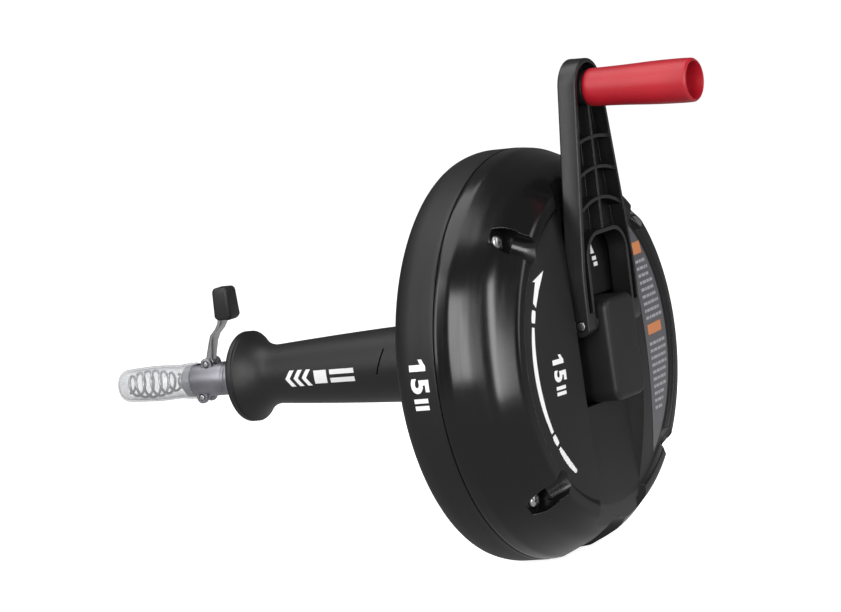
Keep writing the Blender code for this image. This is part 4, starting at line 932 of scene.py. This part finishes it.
class AUGER_OT_lever(bpy.types.Operator):
    """Build the lock lever and its dipped vinyl cap"""
    bl_idname = "auger.lever"
    bl_label = "Lock Lever"

    def execute(self, context):
        x, z = LEVER_PIN.x, LEVER_PIN.z
        half = 1 * MM
        centre = [(x + 3.5 * MM, z + 11.1 * MM), (x + 5.2 * MM, z + 14.5 * MM),
                  (x + 8.6 * MM, z + 17.6 * MM), (x + 10.5 * MM, z + 20.35 * MM),
                  (x + 12.2 * MM, z + 27 * MM), (x + 14 * MM, z + 37 * MM)]
        cam = arc((x, z), 3 * MM, 110, 400, 31)
        outline = cam + [(px + half, pz) for px, pz in centre]
        outline += [(px - half, pz) for px, pz in reversed(centre)]
        low, high = near("lock_lever"), far("lock_lever")
        strip = plate(outline, low.y, high.y, 0.35 * MM, 2, "Y")
        for vert in strip.verts:
            rise = max(0, min(1, (vert.co.z - z - 8 * MM) / (5 * MM)))
            vert.co.y *= 1 + 0.55 * rise * rise * (3 - 2 * rise)
        strip = blank("strip", strip)
        carve(strip, [rod(1.8 * MM, (x, -9 * MM, z), (x, 9 * MM, z), 24)])
        finished(strip, "lever_strip", "lever", "zinc_plate", ["lock_lever"], 30)
        low, high = near("lever_cap"), far("lever_cap")
        middle = (low + high) / 2
        cap = block(low, high)
        bmesh.ops.bevel(cap, geom=list(cap.edges), offset=2.2 * MM, segments=5, profile=0.5,
                        affect="EDGES", clamp_overlap=True, material=-1)
        height = high.z - low.z
        for vert in cap.verts:
            up = (vert.co.z - low.z) / height
            slim = 1 - 0.16 * up ** 2 - 0.2 * max(0, 0.16 - up) / 0.16
            vert.co.x = middle.x + (vert.co.x - middle.x) * slim
            vert.co.y = middle.y + (vert.co.y - middle.y) * (slim + 0.02)
        cap = blank("cap", cap)
        pocket_top = z + 37.4 * MM
        carve(cap, [block((x + 10 * MM, -4.2 * MM, low.z - 1 * MM),
                          (x + 15.4 * MM, 4.2 * MM, pocket_top))])
        finished(cap, "lever_dip_cap", "lever", "dipped_vinyl", ["lever_cap"], 40)
        return {"FINISHED"}


# ---------------------------------------------------------------- cable

def wound(name, points, radius, sides=3):
    """A round wire along the points, as a mesh."""
    curve = bpy.data.curves.new(name, "CURVE")
    curve.dimensions, curve.bevel_depth, curve.bevel_resolution = "3D", radius, sides
    curve.use_fill_caps = True
    line = curve.splines.new("POLY")
    line.points.add(len(points) - 1)
    for point, place in zip(line.points, points):
        point.co = (*place, 1)
    holder = bpy.data.objects.new(name, curve)
    bpy.context.scene.collection.objects.link(holder)
    bpy.context.view_layer.update()
    mesh = bpy.data.meshes.new_from_object(
        holder.evaluated_get(bpy.context.evaluated_depsgraph_get()))
    bpy.data.objects.remove(holder, do_unlink=True)
    build = bmesh.new()
    build.from_mesh(mesh)
    bpy.data.meshes.remove(mesh)
    bmesh.ops.remove_doubles(build, verts=build.verts, dist=1e-6)
    bmesh.ops.recalc_face_normals(build, faces=build.faces)
    return build


class AUGER_OT_cable(bpy.types.Operator):
    """Build the wound lead, its ferrule and the coiled bulb head"""
    bl_idname = "auger.cable"
    bl_label = "Cable And Head"

    def execute(self, context):
        start, end = far("cable_lead").x, near("cable_lead").x
        wire, pitch = 0.62 * MM, 1.3 * MM
        turns = int((start - end - 2 * wire) / pitch)
        build = bmesh.new()
        section = bmesh.ops.create_circle(build, cap_ends=False, segments=6, radius=wire)
        turn = (Matrix.Translation((start - wire - 0.1 * MM, 0, 3.17 * MM - wire))
                @ Matrix.Rotation(math.pi / 2, 4, "X"))
        bmesh.ops.transform(build, matrix=turn, verts=section["verts"])
        steps = turns * 16
        bmesh.ops.spin(build, geom=list(build.verts) + list(build.edges), cent=(0, 0, 0),
                       axis=(1, 0, 0), dvec=(-pitch * turns / steps, 0, 0),
                       angle=2 * math.pi * turns, steps=steps, use_merge=False,
                       use_duplicate=False)
        bmesh.ops.holes_fill(build, edges=[e for e in build.edges if e.is_boundary], sides=8)
        core = rod(2.2 * MM, (start - 0.2 * MM, 0, 0), (end + 0.2 * MM, 0, 0), 24)
        bmesh.ops.recalc_face_normals(build, faces=build.faces)
        finished(joined([build, core]), "wound_lead", "cable", "spring_wire",
                 ["cable_lead"], 50)
        low, high = near("head_ferrule"), far("head_ferrule")
        line = eased([(high.x, 0, 0), (high.x, 4 * MM), (high.x - 2.6 * MM, 4 * MM), (low.x, 3.2 * MM),
                      (low.x, 0)], 0.4 * MM)
        finished(spun(line, 48), "bulb_ferrule", "cable", "zinc_plate",
                 ["head_ferrule"])
        low, high = near("auger_head"), far("auger_head")
        wire = 0.7 * MM
        bulb, length = 6.8 * MM, high.x - low.x - 2 * wire
        count = 6.5 * 36
        points = []
        for index in range(int(count) + 1):
            share = index / count
            radius = bulb * (0.5 + 0.5 * math.sin(math.pi * share ** 1.2)) ** 0.8
            angle = 2 * math.pi * share * 6.5
            points.append((high.x - wire - share * length, radius * math.sin(angle),
                           radius * math.cos(angle)))
        finished(wound("bulb", points, wire, 4), "bulb_coil", "cable",
                 "bright_spring_wire", ["auger_head"], 60)
        return {"FINISHED"}


class AUGER_OT_tip(bpy.types.Operator):
    """Build the clear vinyl sleeve over the bulb head"""
    bl_idname = "auger.tip"
    bl_label = "Clear Tip Cap"

    def execute(self, context):
        wall = 0.9 * MM
        length = TIP_REAR - TIP_FRONT
        outer = [(TIP_REAR, 9.28 * MM, 0), (TIP_REAR - 5 * MM, 9.2 * MM, 2 * MM),
                 (TIP_REAR - 10 * MM, 8.6 * MM, 3 * MM), (TIP_REAR - 0.5 * length, 9.3 * MM, 8 * MM),
                 (TIP_REAR - 0.8 * length, 8.7 * MM, 5 * MM), (TIP_FRONT, 8.1 * MM, 4.5 * MM),
                 (TIP_FRONT, 0, 0)]
        line = eased(outer, 1 * MM, 8)
        inner = [(max(x, TIP_FRONT + wall) if radius < 7.2 * MM else max(x, TIP_FRONT + wall),
                  max(0, radius - wall)) for x, radius in reversed(line)]
        whole = line + inner
        cap = spun(whole + [whole[0]], shapes().small_steps)
        finished(cap, "tip_sleeve", "tip_cap", "clear_vinyl_sleeve", ["tip_cap"], 50)
        return {"FINISHED"}


# ---------------------------------------------------------------- printed marks

def sheet_of(outlines, cell):
    """Flat faces in the XY plane, cut into cells so that they can follow a curve."""
    build = bmesh.new()
    for outline in outlines:
        build.faces.new([build.verts.new((u, v, 0)) for u, v in outline])
    return diced(build, cell)


def diced(build, cell):
    for axis in (0, 1):
        low = min(vert.co[axis] for vert in build.verts)
        high = max(vert.co[axis] for vert in build.verts)
        for number in range(1, int((high - low) / cell) + 1):
            point, normal = Vector((0, 0, 0)), Vector((0, 0, 0))
            point[axis], normal[axis] = low + number * cell, 1
            bmesh.ops.bisect_plane(build, geom=build.verts[:] + build.edges[:] + build.faces[:],
                                   dist=1e-8, plane_co=point, plane_no=normal)
    return build


def raised(build, place, height):
    """Turns flat marks into thin solids that follow place(u, v, height)."""
    bmesh.ops.recalc_face_normals(build, faces=build.faces)
    for face in build.faces:
        if face.normal.z < 0:
            face.normal_flip()
    bmesh.ops.solidify(build, geom=list(build.faces), thickness=height)
    low = min(vert.co.z for vert in build.verts)
    for vert in build.verts:
        vert.co = place(vert.co.x, vert.co.y, (vert.co.z - low) + 0.02 * MM)
    bmesh.ops.recalc_face_normals(build, faces=build.faces)
    return build


def figures(text, size, weight):
    """Heavy figures, centred, in the XY plane."""
    curve = bpy.data.curves.new("figures", "FONT")
    curve.body, curve.size, curve.offset = text, size, weight
    curve.align_x, curve.align_y = "CENTER", "CENTER"
    curve.resolution_u = 4
    holder = bpy.data.objects.new("figures", curve)
    bpy.context.scene.collection.objects.link(holder)
    bpy.context.view_layer.update()
    mesh = bpy.data.meshes.new_from_object(
        holder.evaluated_get(bpy.context.evaluated_depsgraph_get()))
    bpy.data.objects.remove(holder, do_unlink=True)
    build = bmesh.new()
    build.from_mesh(mesh)
    bpy.data.meshes.remove(mesh)
    bmesh.ops.remove_doubles(build, verts=build.verts, dist=1e-6)
    return build


def on_panel(across, up, height):
    """A point on the domed rear panel."""
    return Vector((panel_x(math.hypot(across, up)) + height, across, up))


def on_band(x, run, height):
    """A point on the band's near side, run metres above its middle."""
    radius = DRUM_RADIUS - 0.1 * MM + height
    angle = run / DRUM_RADIUS
    return Vector((x, -radius * math.cos(angle), radius * math.sin(angle)))


def on_grip(x, run, height):
    radius = grip_radius(x) + height
    angle = run / radius
    return Vector((x, -radius * math.cos(angle), radius * math.sin(angle)))


def ring_part(inner, outer, start, end, taper=0.0):
    """A bent stroke between two angles, measured up from -Y, narrowing to its ends."""
    count = max(3, int(abs(end - start) / 1.5))
    rims = []
    for step in range(count + 1):
        share = step / count
        squeeze = taper * abs(2 * share - 1) ** 2 * (outer - inner) / 2
        angle = math.radians(start + (end - start) * share)
        rims.append((angle, inner + squeeze, outer - squeeze))
    return ([(-high * math.cos(angle), high * math.sin(angle)) for angle, _, high in rims]
            + [(-low * math.cos(angle), low * math.sin(angle)) for angle, low, _ in reversed(rims)])


def box_outline(low_u, low_v, high_u, high_v):
    return [(low_u, low_v), (high_u, low_v), (high_u, high_v), (low_u, high_v)]


class AUGER_OT_prints(bpy.types.Operator):
    """Build the printed marks and the label"""
    bl_idname = "auger.prints"
    bl_label = "Printed Marks"

    def execute(self, context):
        height = shapes().print_height
        inner, outer = 67.4 * MM, 70.2 * MM

        def polar(radius, degrees):
            angle = math.radians(degrees)
            return (-radius * MM * math.cos(angle), radius * MM * math.sin(angle))

        arrow = [polar(66.6, 43.5), polar(72.2, 35.6), polar(70.4, 36.2), polar(69.8, 27.5),
                 polar(67.4, 26), polar(66.9, 34)]
        strokes = [arrow, ring_part(inner, outer, 24.6, 19.4, 0.2),
                   ring_part(inner, outer, 17.6, -27.2, 0.35),
                   ring_part(inner, outer, -28.6, -33.4, 0.2),
                   ring_part(inner, outer, -35.2, -51.5, 0.35)]
        marks = raised(sheet_of(strokes, 3 * MM), on_panel, height)
        finished(marks, "direction_arrow", "drum", "ink_white")

        self.number("length_mark_panel", (-51 * MM, -5 * MM), 12.5 * MM, on_panel, 1.0)
        self.number("length_mark_band", (-52.4 * MM, 2.2 * MM), 12.6 * MM, on_band, 1.25)

        pointer = [[(4.2 * MM, 46 * MM), (8.2 * MM, 46 * MM), (5.4 * MM, 51.5 * MM)],
                   box_outline(5.2 * MM, 42.6 * MM, 9.4 * MM, 44.6 * MM),
                   box_outline(6 * MM, 39.6 * MM, 10 * MM, 41.6 * MM)]
        low = -7 * MM
        marks = raised(sheet_of(pointer, 20 * MM),
                       lambda u, v, h: Vector((low + h, u, v)), height)
        finished(marks, "pointer_mark", "drum", "ink_white")

        flags = []
        for number in range(3):
            left = -178.5 * MM + number * 5 * MM
            flags.append([(left + 3 * MM, -4.2 * MM), (left + 5.6 * MM, -4.2 * MM),
                          (left + 2.6 * MM, 0), (left + 5.6 * MM, 4.2 * MM),
                          (left + 3 * MM, 4.2 * MM), (left, 0)])
        flags += [box_outline(-161 * MM, -3.4 * MM, -153.5 * MM, 3.4 * MM),
                  box_outline(-151.5 * MM, -3.4 * MM, -137 * MM, -0.9 * MM),
                  box_outline(-151.5 * MM, 0.9 * MM, -137 * MM, 3.4 * MM)]
        marks = raised(sheet_of(flags, 1.6 * MM), lambda u, v, h: on_grip(u, v - 1 * MM, h), height)
        finished(marks, "grip_mark", "grip", "ink_white")
        self.label(height)
        return {"FINISHED"}

    def number(self, name, centre, size, place, stretch):
        """The figures of the cable's length, reading downwards, with two bars for the unit."""
        one = [(-0.2, -0.35), (0, -0.35), (0, 0.35), (-0.15, 0.35), (-0.36, 0.2), (-0.36, 0.05),
               (-0.2, 0.13)]
        five = figures("5", size, size * 0.04)
        bmesh.ops.translate(five, verts=five.verts, vec=(0.46 * size, 0, 0))
        build = joined([sheet_of([[(u * size, v * size) for u, v in one]], size), five])
        low = min(vert.co.x for vert in build.verts)
        high = max(vert.co.x for vert in build.verts)
        bars = sheet_of([box_outline(high + 0.16 * size, -0.3 * size, high + 0.3 * size, 0.3 * size),
                         box_outline(high + 0.38 * size, -0.3 * size, high + 0.52 * size, 0.3 * size)],
                        1 * size)
        build = diced(joined([build, bars]), 1.5 * MM)
        middle = (low + high + 0.52 * size) / 2
        for vert in build.verts:
            along, up = (vert.co.x - middle) * stretch, vert.co.y
            vert.co.x, vert.co.y = centre[0] + up, centre[1] - along
        finished(raised(build, place, shapes().print_height), name, "drum", "ink_white")

    def label(self, height):
        """The slate label on the other panel, its headers and its rows of bars."""
        edge, left = 71.5 * MM, 40 * MM
        reach = math.degrees(math.acos(left / edge))
        outline = arc((0, 0), edge, -reach, reach, 41)
        plate_sheet = raised(sheet_of([outline], 3 * MM), on_panel, 0.15 * MM)
        finished(plate_sheet, "panel_label", "drum", "label_slate")
        lift = 0.16 * MM
        heads = [box_outline(44.5 * MM, 39 * MM, 56 * MM, 45 * MM),
                 box_outline(44.5 * MM, -1.5 * MM, 64.5 * MM, 3.6 * MM)]
        marks = raised(sheet_of(heads, 4 * MM), lambda u, v, h: on_panel(u, v, h + lift), height)
        finished(marks, "label_headers", "drum", "ink_orange")
        rows = []
        lengths = (4.2, 2.6, 5.4, 3.4, 4.8, 2.2, 3.8, 5)
        tops = [36 - 3.55 * row for row in range(9)] + [-5.4 - 3.55 * row for row in range(10)]
        for row, top in enumerate(tops):
            across = 44.5
            limit = min(68.5, math.sqrt(70 ** 2 - (abs(top) + 2) ** 2) - 1.2)
            word = row * 3
            while across + 2 < limit:
                width = min(lengths[word % len(lengths)], limit - across)
                rows.append(box_outline(across * MM, (top - 1.5) * MM, (across + width) * MM, top * MM))
                across += width + 0.9
                word += 1
        marks = raised(sheet_of(rows, 6 * MM), lambda u, v, h: on_panel(u, v, h + lift), height)
        finished(marks, "label_rows", "drum", "ink_grey")


# ---------------------------------------------------------------- finishes and stage

class AUGER_OT_finishes(bpy.types.Operator):
    """Make the finishes and paint the CAD pieces that stay"""
    bl_idname = "auger.finishes"
    bl_label = "Finishes"

    def execute(self, context):
        tone = tuple(colours().satin)
        shell_finish()
        satin_finish("satin_black_plastic", tone, 0.46)
        satin_finish("arm_black_plastic", tone, 0.34, 1300, 0.6 * MM)
        satin_finish("grip_black_plastic", tone, 0.46, 1500, 0.3 * MM, 0.09 * MM)
        satin_finish("dipped_vinyl", (0.011, 0.011, 0.011), 0.5, 420, 0.3 * MM, 0.12 * MM)
        satin_finish("natural_nylon", (0.72, 0.7, 0.64), 0.45)
        knob_finish()
        metal_finish("zinc_plate", (0.52, 0.52, 0.53), 0.27)
        metal_finish("zinc_casting", (0.33, 0.325, 0.36), 0.4, 0.5, 420)
        metal_finish("spring_wire", (0.42, 0.42, 0.43), 0.3, 0.3)
        metal_finish("bright_spring_wire", (0.6, 0.6, 0.61), 0.2)
        vinyl_finish()
        print_finish("ink_white", (0.93, 0.93, 0.93))
        print_finish("ink_grey", (0.42, 0.42, 0.45))
        print_finish("ink_orange", tuple(colours().header))
        label_finish()
        kept = {"guide_tube": "zinc_plate", "thrust_washer": "natural_nylon",
                "cable_coil": "spring_wire", "cable_anchor": "satin_black_plastic",
                "anchor_screw": "zinc_plate", "flange_screw_1": "zinc_plate",
                "flange_screw_2": "zinc_plate", "block_screw_1": "zinc_plate",
                "block_screw_2": "zinc_plate"}
        for node, look in kept.items():
            thing = frame["nodes"][node]
            for slot in thing.material_slots:
                slot.material = LOOKS[look]
        return {"FINISHED"}


def aim(thing, target):
    """Turns a light to face a point."""
    thing.rotation_euler = (thing.location - Vector(target)).to_track_quat("Z", "Y").to_euler()


def softbox(name, azimuth, elevation, distance, size, power, target=(0, 0, 0.1)):
    """A rectangular light, its direction measured as the camera's is."""
    light = bpy.data.lights.new(name, "AREA")
    light.shape, light.size, light.size_y, light.energy = "RECTANGLE", size[0], size[1], power
    holder = bpy.data.objects.new(name, light)
    bpy.context.scene.collection.objects.link(holder)
    around, up = math.radians(azimuth), math.radians(elevation)
    holder.location = Vector(target) + distance * Vector(
        (math.sin(around) * math.cos(up), -math.cos(around) * math.cos(up), math.sin(up)))
    aim(holder, target)
    holder.visible_camera = False
    return holder


def studio_world():
    """A dim even light from above and a brighter one from below."""
    world = bpy.data.worlds.new("studio")
    bpy.context.scene.world = world
    world.use_nodes = True
    tree = world.node_tree
    place = tree.nodes.new("ShaderNodeTexCoord")
    split = tree.nodes.new("ShaderNodeSeparateXYZ")
    ramp = tree.nodes.new("ShaderNodeMapRange")
    ramp.interpolation_type = "SMOOTHSTEP"
    for socket, value in (("From Min", 0.06), ("From Max", -0.3), ("To Min", 0.12), ("To Max", 0.5)):
        ramp.inputs[socket].default_value = value
    tree.links.new(place.outputs["Generated"], split.inputs[0])
    tree.links.new(split.outputs["Z"], ramp.inputs["Value"])
    glow = tree.nodes["Background"]
    glow.inputs["Color"].default_value = (1, 1, 1, 1)
    tree.links.new(ramp.outputs[0], glow.inputs["Strength"])


def pale_floor():
    build = bmesh.new()
    bmesh.ops.create_circle(build, cap_ends=True, segments=96, radius=14)
    bmesh.ops.translate(build, vec=(0, 0, -0.0005), verts=build.verts)
    floor = blank("floor", build)
    finish = Finish("pale_floor", Roughness=0.9, Base_Color=(0.9, 0.9, 0.9),
                    Emission_Color=(1, 1, 1), Emission_Strength=0.9)
    floor.data.materials.append(finish.material)
    floor.visible_glossy = floor.visible_diffuse = False


class AUGER_OT_stage(bpy.types.Operator):
    """Set out the floor, the lights and the camera"""
    bl_idname = "auger.stage"
    bl_label = "Studio"

    def execute(self, context):
        studio_world()
        pale_floor()
        softbox("tall_box", 50, 14, 1.5, (0.3, 1.6), 15)
        softbox("second_box", 19, 18, 1.5, (0.22, 1.2), 8)
        softbox("side_box", -30, 27, 1.6, (0.5, 1.3), 9)
        softbox("top_box", -60, 74, 1.5, (1.3, 1.2), 12)
        softbox("rim_box", 110, 20, 1.7, (0.6, 1.4), 7)
        self.camera(context)
        context.scene.view_settings.view_transform = "Standard"
        return {"FINISHED"}

    def camera(self, context):
        azimuth, elevation, roll = (math.radians(angle) for angle in (27.97, 6.56, 8.1))
        distance, width = 2.695, 841 / 2.041 * MM
        back = Vector((math.sin(azimuth) * math.cos(elevation),
                       -math.cos(azimuth) * math.cos(elevation), math.sin(elevation)))
        level = Vector((math.cos(azimuth), math.sin(azimuth), 0))
        upright = back.cross(level)
        right = math.cos(roll) * level - math.sin(roll) * upright
        up = math.sin(roll) * level + math.cos(roll) * upright
        axis = (back + right * 93.95 * MM / distance - up * 20 * MM / distance).normalized()
        side = up.cross(axis).normalized()
        lens = bpy.data.cameras.new("camera")
        lens.sensor_width, lens.lens = 36, 36 * distance / width
        lens.clip_end = 60
        holder = bpy.data.objects.new("camera", lens)
        holder.matrix_world = (Matrix.Translation(TOOL + back * distance)
                               @ Matrix((side, axis.cross(side), axis)).transposed().to_4x4())
        context.scene.collection.objects.link(holder)
        context.scene.camera = holder


class AUGER_PT_panel(bpy.types.Panel):
    """Lists the settings and the pieces"""
    bl_idname = "AUGER_PT_panel"
    bl_label = "Hand Drum Auger"
    bl_space_type = "VIEW_3D"
    bl_region_type = "UI"
    bl_category = "Auger"

    def draw(self, context):
        for group in (context.scene.auger_shapes, context.scene.auger_colours):
            box = self.layout.box()
            for name in group.bl_rna.properties.keys():
                if name not in ("rna_type", "name"):
                    box.prop(group, name)
        for operator in OPERATORS:
            self.layout.operator(operator.bl_idname)


OPERATORS = (AUGER_OT_finishes, AUGER_OT_drum, AUGER_OT_screws, AUGER_OT_hinge, AUGER_OT_crank,
             AUGER_OT_knob, AUGER_OT_grip, AUGER_OT_nose, AUGER_OT_lever, AUGER_OT_cable,
             AUGER_OT_tip, AUGER_OT_prints, AUGER_OT_stage)
CLASSES = (AugerShapes, AugerColours, *OPERATORS, AUGER_PT_panel)


def register():
    for item in CLASSES:
        bpy.utils.register_class(item)
    bpy.types.Scene.auger_shapes = bpy.props.PointerProperty(type=AugerShapes)
    bpy.types.Scene.auger_colours = bpy.props.PointerProperty(type=AugerColours)


def unregister():
    del bpy.types.Scene.auger_colours
    del bpy.types.Scene.auger_shapes
    for item in reversed(CLASSES):
        bpy.utils.unregister_class(item)


def main():
    register()
    for operator in OPERATORS:
        group, name = operator.bl_idname.split(".")
        getattr(getattr(bpy.ops, group), name)()


if __name__ == "__main__":
    main()
